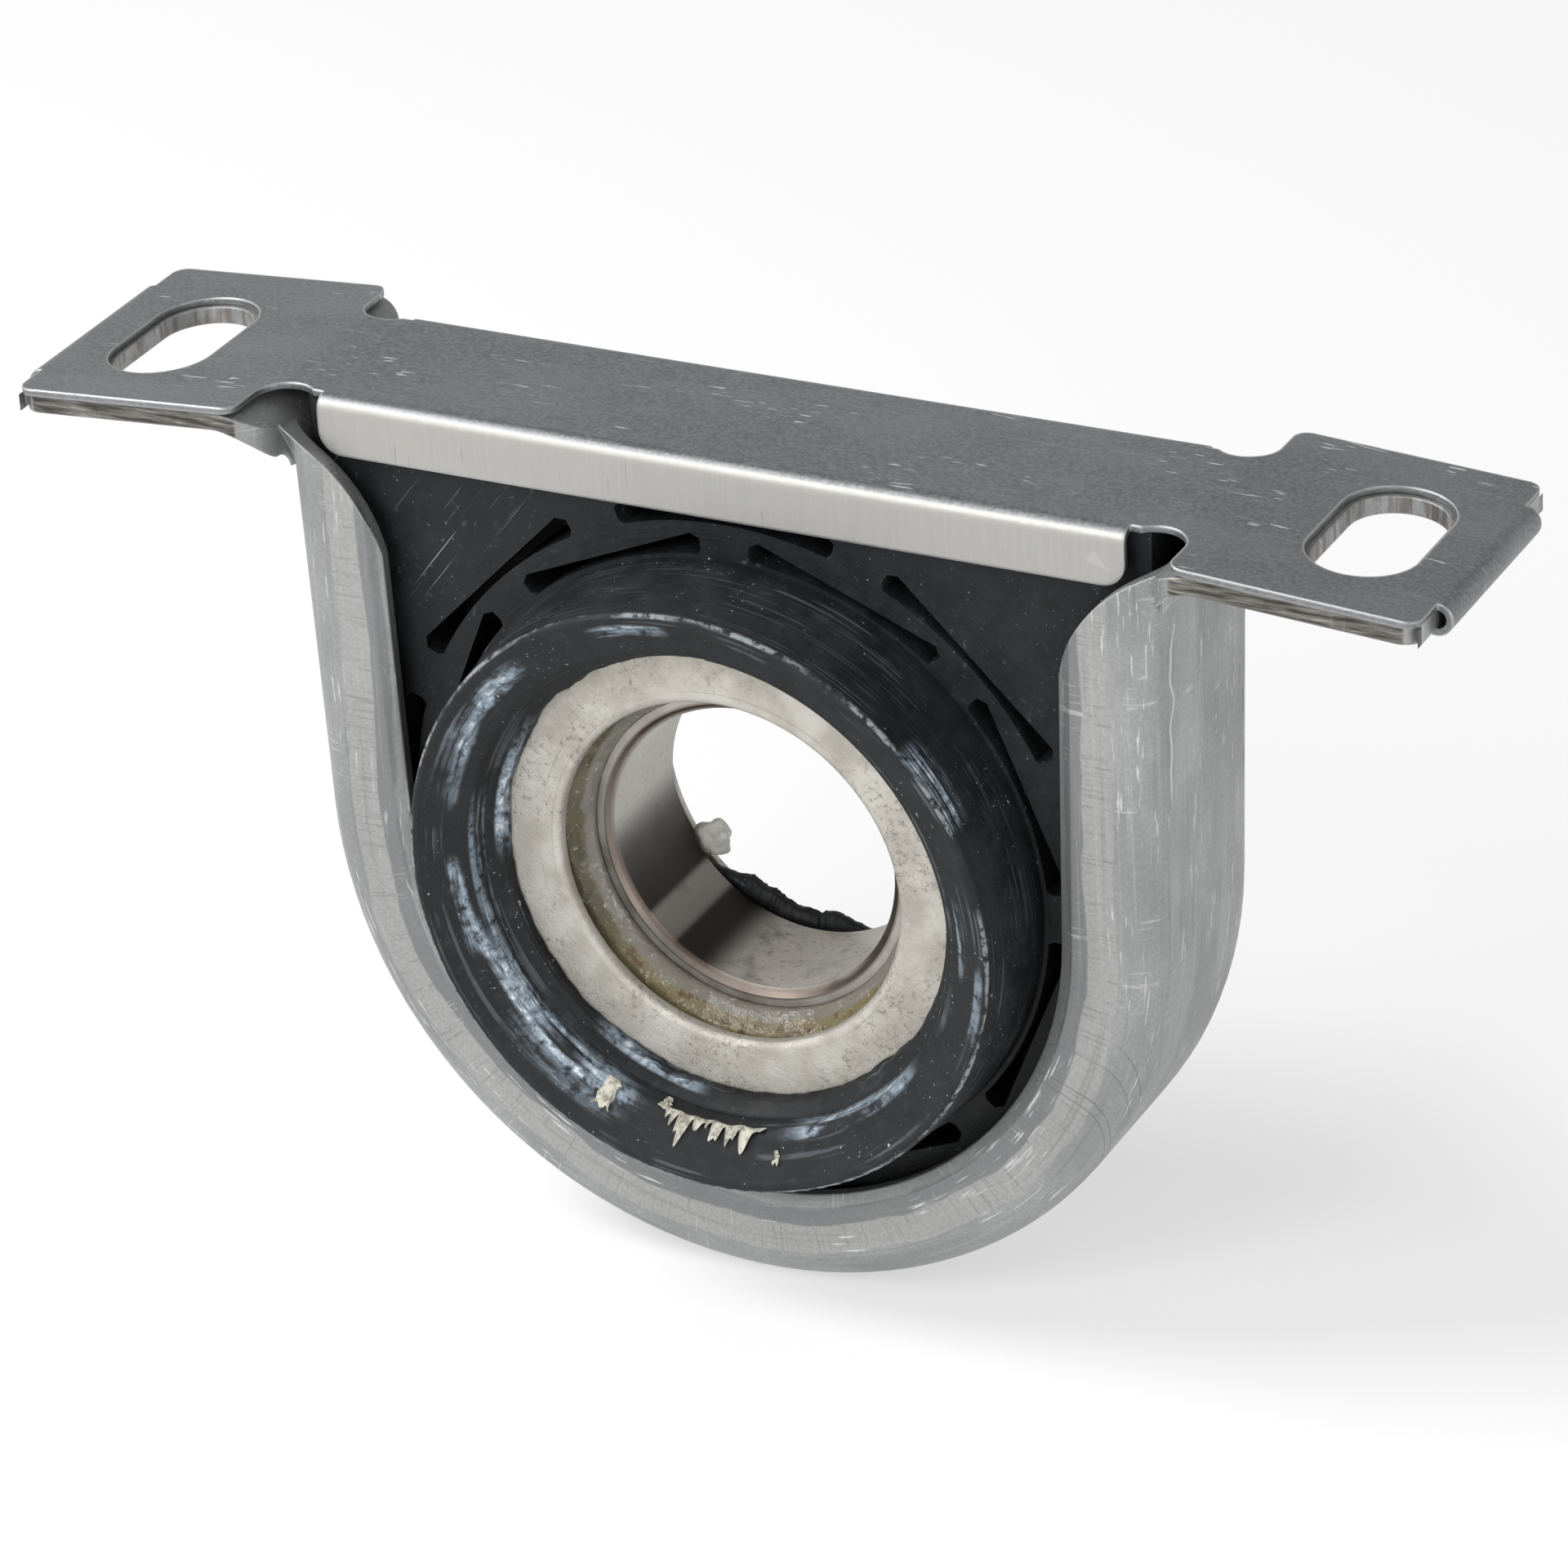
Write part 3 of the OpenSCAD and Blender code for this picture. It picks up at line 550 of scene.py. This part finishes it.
def smear_talc(tree, ring, radius):
    """How thick the talc lies, as the sum of its smears."""
    talc = 0.0
    for angle, half_span, inner, outer, much in TALC_SMEARS:
        patch = arc_patch(tree, ring, radius, angle, half_span, inner, outer)
        talc = add(tree, "ShaderNodeMath", {0: patch, 1: much, 2: talc}, operation="MULTIPLY_ADD")
    return talc


print(len(TALC_SMEARS), "smears of talc")

# %% [markdown]
# ## Cushion: moulded black natural rubber
# Moulded rubber is nearly black, with a weak broad shine. Dust and a few scratches lie on the web, lines
# run round the collar where it was trimmed, and the collar's sharp outer edge is scuffed pale, with a
# painted highlight along it.

# %% Material of the rubber
COLLAR_FROM = (11.6 * MM, 13 * MM)
WEB_WITHIN = (12.2 * MM, 11.4 * MM)
CREST_RADIUS = (40.3 * MM, 40.7 * MM)
CREST_DEPTH = (24.4 * MM, 24.8 * MM)
SCRATCH_LEAN = math.radians(52)


def make_rubber():
    """Nearly black and dull, with talc on the collar's face and edges, dust and scratches on the web."""
    material, tree, shader = start_material("black_natural_rubber", {"Specular IOR Level": 0.3})
    place, split, ring, radius = round_shaft(tree)
    depth = add(tree, "ShaderNodeMath", {0: split.outputs["Y"]}, operation="ABSOLUTE")
    collar, web = mask(tree, depth, *COLLAR_FROM), mask(tree, depth, *WEB_WITHIN)
    left = mask(tree, split.outputs["X"], -20 * MM, -36 * MM)
    drag = streaks(tree, ring, (12, 0.7, 12), seed=1, detail=4, rough=0.65)
    blot = streaks(tree, place, (5, 5, 5), seed=5, detail=4, rough=0.6)
    rubbed = streaks(tree, place, (1.4, 1.4, 1.4), seed=33, detail=4, rough=0.65)
    lines = streaks(tree, ring, (45, 0.4, 45), seed=8, detail=2)
    broken = streaks(tree, ring, (9, 3, 9), seed=14, detail=3)
    # Specks of dust are about 0.1 mm; they are drawn at up to half a millimetre to show.
    dust = streaks(tree, place, (0.5, 0.5, 0.5), seed=12, detail=1)
    dusty = streaks(tree, place, (16, 30, 16), seed=17, detail=2)
    leaning = add(tree, "ShaderNodeMapping", {"Vector": place, "Rotation": (0, SCRATCH_LEAN, 0)})
    scratch = streaks(tree, leaning, (22, 30, 0.3), seed=26, detail=2)
    talc = mask(tree, smear_talc(tree, ring, radius), 0, 1, collar,
                mask(tree, drag, 0.34, 0.60), mask(tree, rubbed, 0.24, 0.56))
    # Scuffs on the collar's outer edge, which also stand as a painted highlight along it.
    scuffs_and_painted_highlight = mask(tree, radius, *CREST_RADIUS, mask(tree, depth, *CREST_DEPTH),
                   mask(tree, broken, 0.40, 0.62), mask(tree, rubbed, 0.36, 0.56))
    worn = mask(tree, lines, 0.53, 0.66, collar, mask(tree, broken, 0.43, 0.60))
    scratched = mask(tree, scratch, 0.69, 0.75, web, left, mask(tree, broken, 0.46, 0.56), top=0.8)
    colour = coats(
        tree, "#17181a",
        (mask(tree, blot, 0.32, 0.72), "#232527"),
        (mask(tree, rubbed, 0.54, 0.76, top=0.4), "#3d4146"),
        (mask(tree, worn, 0, 1, top=0.5), "#62686e"),
        (mask(tree, drag, 0.60, 0.78, collar, top=0.4), "#5b646d"),
        # Pale scuffs and a painted highlight on the collar's outer edge.
        (mask(tree, scuffs_and_painted_highlight, 0, 1, top=0.6), "#a9aeb1"),
        (mask(tree, talc, 0, 1, top=0.9), "#93a2af"),
        (mask(tree, talc, 0.66, 1, mask(tree, rubbed, 0.48, 0.64)), "#d9dee0"),
        (mask(tree, dust, 0.71, 0.77, mask(tree, dusty, 0.44, 0.62), top=0.7), "#9a9ea1"),
        (mask(tree, dust, 0.785, 0.81, top=0.7), "#c6c8c8"),
        (scratched, "#9aa4ac"),
        (mask(tree, rubbed, 0.60, 0.74, web, mask(tree, broken, 0.50, 0.64), top=0.6), "#6f7c88"))
    rough = add(tree, "ShaderNodeMapRange",
                {"Value": blot, **NOISE_SPAN, "To Min": 0.50, "To Max": 0.70})
    connect(tree, shader, Base_Color=colour, Roughness=rough)
    emboss(tree, shader, 0.3, 0.35, (lines, 0.6), (blot, 0.7), (rubbed, 0.3))
    return tell(material)


rubber = make_rubber()

# %% [markdown]
# ## Shields: tin-plated steel, finely pitted
# Hot-dipped tin is a warm pale grey. Here it has gone dull, with a skin of fine pits and hairlines, and
# old grease has stained its outer edge yellow-brown in places. Small noise gives the pits, and the
# hairlines run where a larger noise crosses its middle value.

# %% Material of the shields
STAINED_FROM = (31.0 * MM, 33.4 * MM)
DRAWN_WITHIN = (28.5 * MM, 25.5 * MM)


def make_shield_tin():
    """Warm pale grey, dull, finely pitted, stained at the rim."""
    material, tree, shader = start_material("pitted_tin_plate", {"Metallic": 0.6})
    place, _, ring, radius = round_shaft(tree)
    rounded, edge = worn_edge(tree, 0.4)
    mottle = streaks(tree, place, (6, 6, 6), detail=4, rough=0.6)
    # Pits of 0.1 mm come from the finer octaves of a noise of 0.7 mm, the coarsest that still looks fine.
    pits = streaks(tree, place, (0.7, 0.7, 0.7), seed=4, detail=5, rough=0.75)
    coarse = streaks(tree, place, (9, 9, 9), seed=15, detail=2)
    stain = streaks(tree, ring, (7, 2, 7), seed=6, detail=3)
    drawn = streaks(tree, ring, (60, 0.35, 60), seed=11, detail=1)
    hair = streaks(tree, place, (2.4, 2.4, 2.4), seed=21, detail=3)
    hair = add(tree, "ShaderNodeMath", {0: hair, 1: 0.5}, operation="SUBTRACT")
    hair = add(tree, "ShaderNodeMath", {0: hair}, operation="ABSOLUTE")
    rim, near = mask(tree, radius, *STAINED_FROM), mask(tree, radius, *DRAWN_WITHIN)
    colour = coats(
        tree, "#b5b1a8",
        (mask(tree, mottle, 0.34, 0.68), "#cdcac2"),
        (mask(tree, pits, 0.47, 0.36, mask(tree, coarse, 0.34, 0.60), top=0.75), "#847f75"),
        (mask(tree, pits, 0.56, 0.70, top=0.35), "#dedbd3"),
        (mask(tree, hair, 0.012, 0.004, mask(tree, coarse, 0.50, 0.62), top=0.45), "#79736a"),
        (mask(tree, drawn, 0.62, 0.74, near, top=0.4), "#8a857c"),
        (mask(tree, stain, 0.52, 0.66, rim, top=0.8), "#8c7a4e"),
        (mask(tree, edge, 0, 1, top=0.6), "#e2dfd8"))
    rough = add(tree, "ShaderNodeMapRange",
                {"Value": mottle, **NOISE_SPAN, "To Min": 0.58, "To Max": 0.46})
    connect(tree, shader, Base_Color=colour, Roughness=rough)
    grooves = mask(tree, hair, 0, 0.02)
    emboss(tree, shader, 0.22, 0.55, (pits, 1.0), (mottle, 0.6), (grooves, 0.2), over=rounded)
    return tell(material)


shield_tin = make_shield_tin()

# %% [markdown]
# ## Inner ring: ground bearing steel with painted reflections and a leathery film
# The bore is ground round, so it has very fine lines round the shaft and a soft mirror look. High on one
# side it is painted pale and dull, a painted reflection of the pale studio; below that a dark brown band
# is a painted dark reflection, with one painted highlight streak from a lamp; at the bottom lies a
# leathery film of dried grease. Where the pale paint and the dried grease lie, the metallic value falls.
# The front rim has a copper tint from heat.

# %% Material of the inner ring
BORE_WITHIN = (20.6 * MM, 20.3 * MM)
RIM_DEPTH = (-7.7 * MM, -8.4 * MM)
RIM_WITHIN = (21.5 * MM, 21.0 * MM)
BORE_BAND_MM = (14, 26)


def make_bore_steel():
    """Soft mirror with painted pale and dark reflections, a painted lamp streak, a leathery film and a
    copper rim.
    """
    material, tree, shader = start_material("ground_bearing_steel", {})
    place, split, ring, radius = round_shaft(tree)
    # Grinding lines are about 0.01 mm; 0.3 mm is the finest that shows.
    ground = streaks(tree, ring, (60, 0.3, 60))
    film = streaks(tree, place, (7, 7, 7), seed=3, detail=5, rough=0.65)
    hide = streaks(tree, place, (0.8, 0.8, 0.8), seed=8, detail=3)
    rim = mask(tree, split.outputs["Y"], *RIM_DEPTH, mask(tree, radius, *RIM_WITHIN))
    inside = mask(tree, radius, *BORE_WITHIN)
    # Round the bore, dark is a painted dark reflection, the streak a painted lamp highlight, high painted
    # pale.
    dark, painted_lamp_streak, high, bottom = (
        arc_patch(tree, ring, radius, angle, half_span, *BORE_BAND_MM)
        for angle, half_span in ((-140, 48), (-135, 9), (150, 70), (-76, 44)))
    # The pale coat high on one side is a painted reflection; it and the leathery film make the metal
    # dull.
    painted_pale_reflection = mask(tree, high, 0, 1, inside, mask(tree, film, 0.16, 0.38), top=0.95)
    leathery = mask(tree, bottom, 0, 1, inside, mask(tree, film, 0.26, 0.50), top=0.85)
    bare = add(tree, "ShaderNodeMath", {0: painted_pale_reflection, 1: leathery}, operation="MAXIMUM")
    bare = add(tree, "ShaderNodeMath", {0: 1.0, 1: bare}, operation="SUBTRACT")
    colour = coats(
        tree, "#a29d96",
        (mask(tree, film, 0.36, 0.68), "#bdb9b2"),
        (painted_pale_reflection, "#c9c7c0"),
        (mask(tree, hide, 0.58, 0.70, painted_pale_reflection, top=0.35), "#77746c"),
        # A painted dark reflection, then a painted highlight streak from a lamp.
        (mask(tree, dark, 0, 1, inside, mask(tree, film, 0.10, 0.34), top=0.97), "#26211e"),
        (mask(tree, painted_lamp_streak, 0, 1, inside, mask(tree, film, 0.10, 0.50), top=0.45), "#b9b3ad"),
        (leathery, "#bfb9b0"),
        (mask(tree, hide, 0.54, 0.68, bottom, inside, top=0.42), "#5d534a"),
        (mask(tree, rim, 0, 1, top=0.75), "#71645b"))
    rough = add(tree, "ShaderNodeMapRange",
                {"Value": film, "From Min": 0.35, "From Max": 0.7, "To Min": 0.36, "To Max": 0.50})
    connect(tree, shader, Base_Color=colour, Roughness=rough, Metallic=bare)
    emboss(tree, shader, 0.1, 0.2, (ground, 0.6), (film, 0.6), (hide, 0.5))
    return tell(material)


bore_steel = make_bore_steel()

# %% [markdown]
# ## Pieces inside the bearing
# The outer ring, cage, balls and seals show only when the part is opened, but each still gets its own
# finish: ground steel with a soft mirror, pressed sheet with a yellowish dull shine, balls polished to a
# clear mirror, and dull black nitrile rubber. One noise in each keeps them from looking like plastic.

# %% Materials of the hidden pieces
def make_plain(name, dark, pale, metallic, rough_low, rough_high, size_mm):
    """A finish with one noise: colour between two shades and roughness between two values."""
    material, tree, shader = start_material(name, {"Metallic": metallic})
    place = add(tree, "ShaderNodeTexCoord").outputs["Object"]
    grain = streaks(tree, place, (size_mm, size_mm, size_mm), detail=3)
    rough = add(tree, "ShaderNodeMapRange",
                {"Value": grain, **NOISE_SPAN, "To Min": rough_low, "To Max": rough_high})
    colour = coats(tree, dark, (mask(tree, grain, 0.3, 0.7), pale))
    connect(tree, shader, Base_Color=colour, Roughness=rough)
    return tell(material)


ring_steel = make_plain("ground_ring_steel", "#8b8884", "#aaa7a2", 1.0, 0.25, 0.38, 3)
seal_rubber = make_plain("nitrile_rubber", "#141414", "#222222", 0.0, 0.5, 0.65, 2)
cage_sheet = make_plain("pressed_cage_sheet", "#7d7568", "#a19887", 1.0, 0.35, 0.5, 1.5)
ball_steel = make_plain("polished_ball_steel", "#b0b0ae", "#c4c4c2", 1.0, 0.06, 0.12, 4)

# %% [markdown]
# ## Dressing the CAD nodes
# A CAD node is never moved or reshaped here; it only gets its material. Nodes that are not in the table
# are the balls.

# %% Give each node its finish
finishes = {
    "housing_strap": strap_steel, "top_plate": plate_steel, "rubber_cushion": rubber,
    "bearing_inner_ring": bore_steel, "bearing_outer_ring": ring_steel,
    "front_shield": shield_tin, "rear_shield": shield_tin,
    "front_seal": seal_rubber, "rear_seal": seal_rubber,
    "cage_front_half": cage_sheet, "cage_rear_half": cage_sheet, "cage_rivets": cage_sheet}
for name, part in nodes.items():
    part.data.materials.clear()
    part.data.materials.append(finishes.get(name, ball_steel))
print("dressed", len(nodes), "CAD nodes")

# %% [markdown]
# ## Pieces that only Blender makes
# Grease, crumbs and torn flakes have no drawing, so they are modelled here. A ring of grease starts as
# an outline of its section, which spin turns about the shaft; its vertices are then pushed about by
# smooth noise. Places are easier to think of as a radius, an angle and a depth, so two small functions
# turn points into those and back.

# %% Places about the shaft
def polar(vert):
    """Radius in mm, angle in degrees and depth in mm of a vertex."""
    x, y, z = vert.co / MM
    return math.hypot(x, z), math.degrees(math.atan2(z, x)), y


def at_polar(radius, angle, depth):
    """The point at a radius in mm, an angle in degrees and a depth in mm."""
    turn = math.radians(angle)
    return Vector((radius * math.cos(turn), depth, radius * math.sin(turn))) * MM


def heading(angle):
    """The direction of an angle in degrees, in which noise round the shaft has no seam."""
    return Vector((math.cos(math.radians(angle)), math.sin(math.radians(angle)), 0))


print("20 mm straight up from the shaft is", [round(c, 1) for c in at_polar(20, 90, 0) / MM])

# %% [markdown]
# Every piece is finished the same way: doubles merged, normals turned outwards, smooth shading, its
# material, and the CAD body that it rides on.

# %% Spinning and finishing a piece
MERGE_WITHIN = 0.005 * MM


def spun_ring(outline, start=0.0, sweep=360.0, steps=180):
    """A closed outline of (radius, depth) in mm, spun about the shaft; angles run from +X up to +Z."""
    made = bmesh.new()
    corners = [made.verts.new((r * MM, d * MM, 0)) for r, d in outline]
    edges = [made.edges.new((a, b)) for a, b in zip(corners, corners[1:] + corners[:1])]
    turn = Matrix.Rotation(math.radians(start), 3, (0, -1, 0))
    bmesh.ops.rotate(made, verts=corners, cent=(0, 0, 0), matrix=turn)
    whole = sweep >= 360
    bmesh.ops.spin(made, geom=corners + edges, cent=(0, 0, 0), axis=(0, -1, 0),
                   angle=math.radians(sweep), steps=steps, use_merge=whole)
    if not whole:
        bmesh.ops.holes_fill(made, edges=made.edges, sides=len(outline))
    return made


def finish_piece(made, name, material, body="housing"):
    """Turn a bmesh into an object of the part, dressed and riding on a body."""
    bmesh.ops.remove_doubles(made, verts=made.verts, dist=MERGE_WITHIN)
    bmesh.ops.recalc_face_normals(made, faces=made.faces)
    for face in made.faces:
        face.smooth = True
    mesh = bpy.data.meshes.new(name)
    made.to_mesh(mesh)
    made.free()
    mesh.materials.append(material)
    piece = bpy.data.objects.new(name, mesh)
    bpy.context.scene.collection.objects.link(piece)
    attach(piece, body)
    print("made", name, "with", len(mesh.polygons), "faces")
    return piece


# %% [markdown]
# ## Grease as a material
# Lithium grease is a cream-coloured soap. In the groove it has gone olive where it is thin and yellow
# where it has pooled, with brown spots of dirt, and only a grey film is left on the ring's face. It
# glitters because its lumpy surface is wet, and pale cream spots on it are partly painted glints. A
# little light passes into it, which subsurface scattering gives.

# %% Material of the grease
POOLED_BELOW = (-8 * MM, -22 * MM)
FILM_WITHIN = (24.5 * MM, 23.9 * MM)
FILM_FROM = (21.5 * MM, 22.2 * MM)
GREASE_SCATTER = (0.8 * MM, 0.6 * MM, 0.3 * MM)


def make_grease(name, thin, thick, dirt_share):
    """Wet soap between two shades, thicker and dirtier at the bottom, a share of dirt, and partly painted
    glints.
    """
    material, tree, shader = start_material(name, {
        "Roughness": 0.2, "IOR": 1.47, "Subsurface Weight": 0.2, "Subsurface Radius": GREASE_SCATTER})
    place, split, _, radius = round_shaft(tree)
    cloud = streaks(tree, place, (4, 4, 4), detail=4)
    dirt = streaks(tree, place, (1.6, 1.6, 1.6), seed=5, detail=3)
    ripple = streaks(tree, place, (0.8, 0.8, 0.8), seed=9, detail=3)
    pooled = mask(tree, split.outputs["Z"], *POOLED_BELOW)
    wiped = add(tree, "ShaderNodeMath", {0: cloud, 1: 1.4 * MM, 2: radius}, operation="MULTIPLY_ADD")
    film = mask(tree, wiped, *FILM_WITHIN, mask(tree, radius, *FILM_FROM))
    colour = coats(
        tree, thin,
        (mask(tree, cloud, 0.36, 0.66, top=0.4), thick),
        (mask(tree, pooled, 0, 1, top=0.85), thick),
        (mask(tree, dirt, 0.52, 0.64, pooled, top=dirt_share), "#5a4026"),
        (mask(tree, film, 0, 1, top=0.85), "#85827b"),
        # Pale cream spots, partly painted wet glints.
        (mask(tree, ripple, 0.62, 0.72, top=0.5), "#cfccc0"))
    connect(tree, shader, Base_Color=colour)
    emboss(tree, shader, 0.5, 0.6, (cloud, 0.6), (ripple, 0.6))
    return tell(material)


old_grease = make_grease("lithium_grease", "#5b5745", "#877c5c", 0.8)
fresh_grease = make_grease("fresh_grease", "#d5d5cd", "#eeeee8", 0.0)

# %% [markdown]
# ## Grease in the grooves
# Between a shield's opening and the inner ring's face the grease is packed in a ring, thicker outside.
# Its section is spun about the shaft, and noise in two sizes makes the free side lumpy. The side that
# lies on the metal stays as it is.

# %% Packed grease
# Section of the grease, as radius and depth in mm; the first three corners lie on the metal.
PACKED_SECTION = (
    (22.2, 9.2), (26.6, 9.2), (26.6, 12.0), (25.6, 12.6),
    (24.7, 11.9), (23.9, 11.0), (23.1, 10.3), (22.5, 9.8))
FREE_BEYOND, FREE_WITHIN = 9.6, 26.4


def pack_groove(facing, seed):
    """Grease between a shield's opening and the inner ring; facing is -1 in front and 1 behind."""
    made = spun_ring([(r, facing * d) for r, d in PACKED_SECTION], steps=240)
    for vert in made.verts:
        radius, angle, depth = polar(vert)
        if abs(depth) > FREE_BEYOND and radius < FREE_WITHIN:
            bump = noise.noise(heading(angle) * 4 + Vector((0, 0, seed + radius / 2)))
            bump += 0.6 * noise.noise(heading(angle) * 11 + Vector((0, 0, seed + radius)))
            vert.co = at_polar(radius - 0.3 * bump, angle, depth + facing * 0.7 * bump)
    return made


finish_piece(pack_groove(-1, 3.0), "front_grease", old_grease)
finish_piece(pack_groove(1, 8.0), "rear_grease", old_grease)

# %% [markdown]
# A white lump of fresh grease has squeezed out behind the far rim and shows in the bore's opening. An
# icosphere, squashed and pushed about by noise, is enough for a lump.

# %% Lump of grease at the far rim
LUMP_FLATTEN = (1.0, 0.6, 1.0)


def squeeze_lump(radius, angle, depth, size):
    """A soft lump of a size in mm at a place about the shaft."""
    made = bmesh.new()
    bmesh.ops.create_icosphere(made, subdivisions=4, radius=size * MM)
    for vert in made.verts:
        vert.co *= 1 + 0.35 * noise.noise(vert.co / MM * 0.55 + Vector((4, 1, 2)))
    bmesh.ops.scale(made, verts=made.verts, vec=LUMP_FLATTEN)
    bmesh.ops.translate(made, verts=made.verts, vec=at_polar(radius, angle, depth))
    return made


finish_piece(squeeze_lump(19.4, -146, 11.0, 2.6), "grease_lump", fresh_grease)

# %% [markdown]
# ## Ragged rubber
# Behind the far rim the old rubber lip has crumbled into a ragged black edge. It is a short arc of a
# flat section whose inner side is torn by noise, and which runs out to nothing at both ends.

# %% Crumbs behind the far rim
CRUMB_START, CRUMB_SWEEP = -138, 70
CRUMB_INNER, CRUMB_SEAT = 18.7, 22.1
CRUMB_SECTION = (
    (CRUMB_INNER, 9.5), (CRUMB_SEAT, 9.3), (CRUMB_SEAT, 11.2), (20.4, 11.2), (CRUMB_INNER, 10.8))


def tear_edge(made, inner, wave, fine, seed):
    """Push the vertices near an inner radius about, by slow and by fine noise."""
    for vert in made.verts:
        radius, angle, depth = polar(vert)
        if radius < inner + 0.6:
            way = heading(angle)
            push = wave * noise.noise(way * 4 + Vector((0, 0, seed + depth / 3)))
            push += fine * noise.fractal(way * 9 + Vector((0, 0, seed + depth)), 0.8, 2.1, 5)
            shift = 0.4 * fine * noise.noise(way * 19 + Vector((0, 0, seed + 7)))
            vert.co = at_polar(radius + push, angle, depth + shift)
    return made


crumbs = tear_edge(spun_ring(CRUMB_SECTION, CRUMB_START, CRUMB_SWEEP, 240), CRUMB_INNER, 0.7, 0.5, 2.0)
for vert in crumbs.verts:
    radius, angle, depth = polar(vert)
    from_end = min(angle - CRUMB_START, CRUMB_START + CRUMB_SWEEP - angle)
    height = min(1.0, 0.12 + from_end / 16)
    vert.co = at_polar(CRUMB_SEAT - (CRUMB_SEAT - radius) * height, angle, depth)
finish_piece(crumbs, "rear_crumbs", rubber)

# %% [markdown]
# The collar's own lip over the shield is uneven too. A thin ring of flash, torn in the same way, covers
# the even edge of the CAD lip.

# %% Flash on the collar's lip
FLASH_INNER = 31.3
FLASH_SECTION = ((FLASH_INNER, -15.95), (33.4, -15.95), (33.6, -19.5), (32.9, -18.9), (31.7, -17.3))
flash = tear_edge(spun_ring(FLASH_SECTION, 0, 360, 360), FLASH_INNER, 0.5, 0.25, 5.0)
finish_piece(flash, "collar_flash", rubber)

# %% [markdown]
# ## Torn skin
# Low on the collar the skin of the rubber has torn off and dried pale. The skin lies on the collar's
# inner wall and over its soft edge onto the face, so a function gives the place that is so many
# millimetres up from the lip along that path.

# %% Dry skin and the path over the collar
WALL_RUN = 2.2


def make_torn_skin():
    """Pale dry skin of rubber, dusty and matt."""
    material, tree, shader = start_material("dry_rubber_skin", {"Roughness": 0.8})
    place = add(tree, "ShaderNodeTexCoord").outputs["Object"]
    grain = streaks(tree, place, (0.9, 0.9, 0.9), detail=3)
    connect(tree, shader, Base_Color=coats(tree, "#8d8a7e", (mask(tree, grain, 0.34, 0.6), "#c6c3b6")))
    return tell(material)


def on_collar(run):
    """Radius and depth in mm on the collar, so many mm up its wall and then over its face."""
    up, over = min(run, WALL_RUN), max(run - WALL_RUN, 0)
    return 33.35 + 0.18 * up + 0.89 * over, -19.3 - 0.98 * up - 0.45 * over


torn_skin = make_torn_skin()
print("the collar's soft edge is at radius and depth", [round(c, 2) for c in on_collar(WALL_RUN)], "mm")

# %% [markdown]
# A loose flap starts as a small grid, which is laid across the edge; noise makes its sides ragged, and
# both its ends lift off the rubber. Solidify then gives it the thickness of a skin.

# %% Loose flaps
SKIN_THICK = 0.15 * MM
SKIN_LIFT = 0.35


def tear_flap(angle, start, length, width, narrow):
    """A flap in mm across the collar's inner edge, as wide at its start as the narrow share says."""
    made = bmesh.new()
    bmesh.ops.create_grid(made, x_segments=8, y_segments=12, size=0.5)
    for vert in made.verts:
        side, along = vert.co.x, vert.co.y + 0.5
        ragged = 0.35 * noise.noise(Vector((angle, along * 5, side * 3)))
        across = (side * (narrow + (1 - narrow) * along) + ragged) * width
        tip = 0.9 * along * noise.noise(Vector((side * 6, angle, 3)))
        radius, depth = on_collar(start + along * length + tip)
        lift = SKIN_LIFT + 0.3 * along ** 3 + 0.2 * (1 - along) ** 2
        vert.co = at_polar(radius - 0.5 * lift, angle + math.degrees(across / radius), depth - lift)
    bmesh.ops.solidify(made, geom=made.faces, thickness=SKIN_THICK)
    return made


# %% [markdown]
# Beside the flaps the skin hangs in a fringe of tatters. It is one long grid along the edge, and two
# noises give the length of the skin at each angle, so that the tatters differ and lean to one side.

# %% Fringe of tatters
def tear_fringe(first, last, start, longest, lean):
    """Skin torn along the inner edge between two angles, in tatters of uneven length that lean."""
    made = bmesh.new()
    bmesh.ops.create_grid(made, x_segments=150, y_segments=8, size=0.5)
    for vert in made.verts:
        share, along = vert.co.x + 0.5, vert.co.y + 0.5
        angle = first + (last - first) * share
        tatter = abs(noise.noise(Vector((angle * 0.26, 2, 5))))
        tatter += 0.35 * noise.noise(Vector((angle * 0.9, 7, 1)))
        fade = min(1.0, 6 * share, 6 * (1 - share))
        length = 0.35 + longest * fade * max(tatter, 0.0)
        edge = start + 0.5 * noise.noise(Vector((angle * 0.3, 1, 9)))
        radius, depth = on_collar(edge + along * length)
        lift = SKIN_LIFT + 0.3 * along ** 2 * (1 + noise.noise(Vector((angle * 0.8, along, 4))))
        swing = lean * along * length + 0.25 * noise.noise(Vector((angle * 0.9, along * 3, 8)))
        vert.co = at_polar(radius - 0.5 * lift, angle - math.degrees(swing / radius), depth - lift)
    bmesh.ops.solidify(made, geom=made.faces, thickness=SKIN_THICK)
    return made


# %% [markdown]
# The fringe and the flaps are joined into one piece, because they are one skin. A bmesh takes in another
# one by way of a mesh, which is thrown away again.

# %% Join the torn skin
# Angle in degrees, start, length and width in mm, and the share of the width at the start.
FLAPS = ((-116.5, 1.6, 4.2, 2.5, 0.75), (-104.0, -0.1, 1.9, 1.3, 0.5), (-76.0, 4.6, 1.7, 1.0, 0.6))
torn = bmesh.new()
for scrap in [tear_fringe(-105.5, -79.0, 1.5, 7.0, 0.25)] + [tear_flap(*flap) for flap in FLAPS]:
    mesh = bpy.data.meshes.new("scrap")
    scrap.to_mesh(mesh)
    scrap.free()
    torn.from_mesh(mesh)
    bpy.data.meshes.remove(mesh)
finish_piece(torn, "torn_flakes", torn_skin)
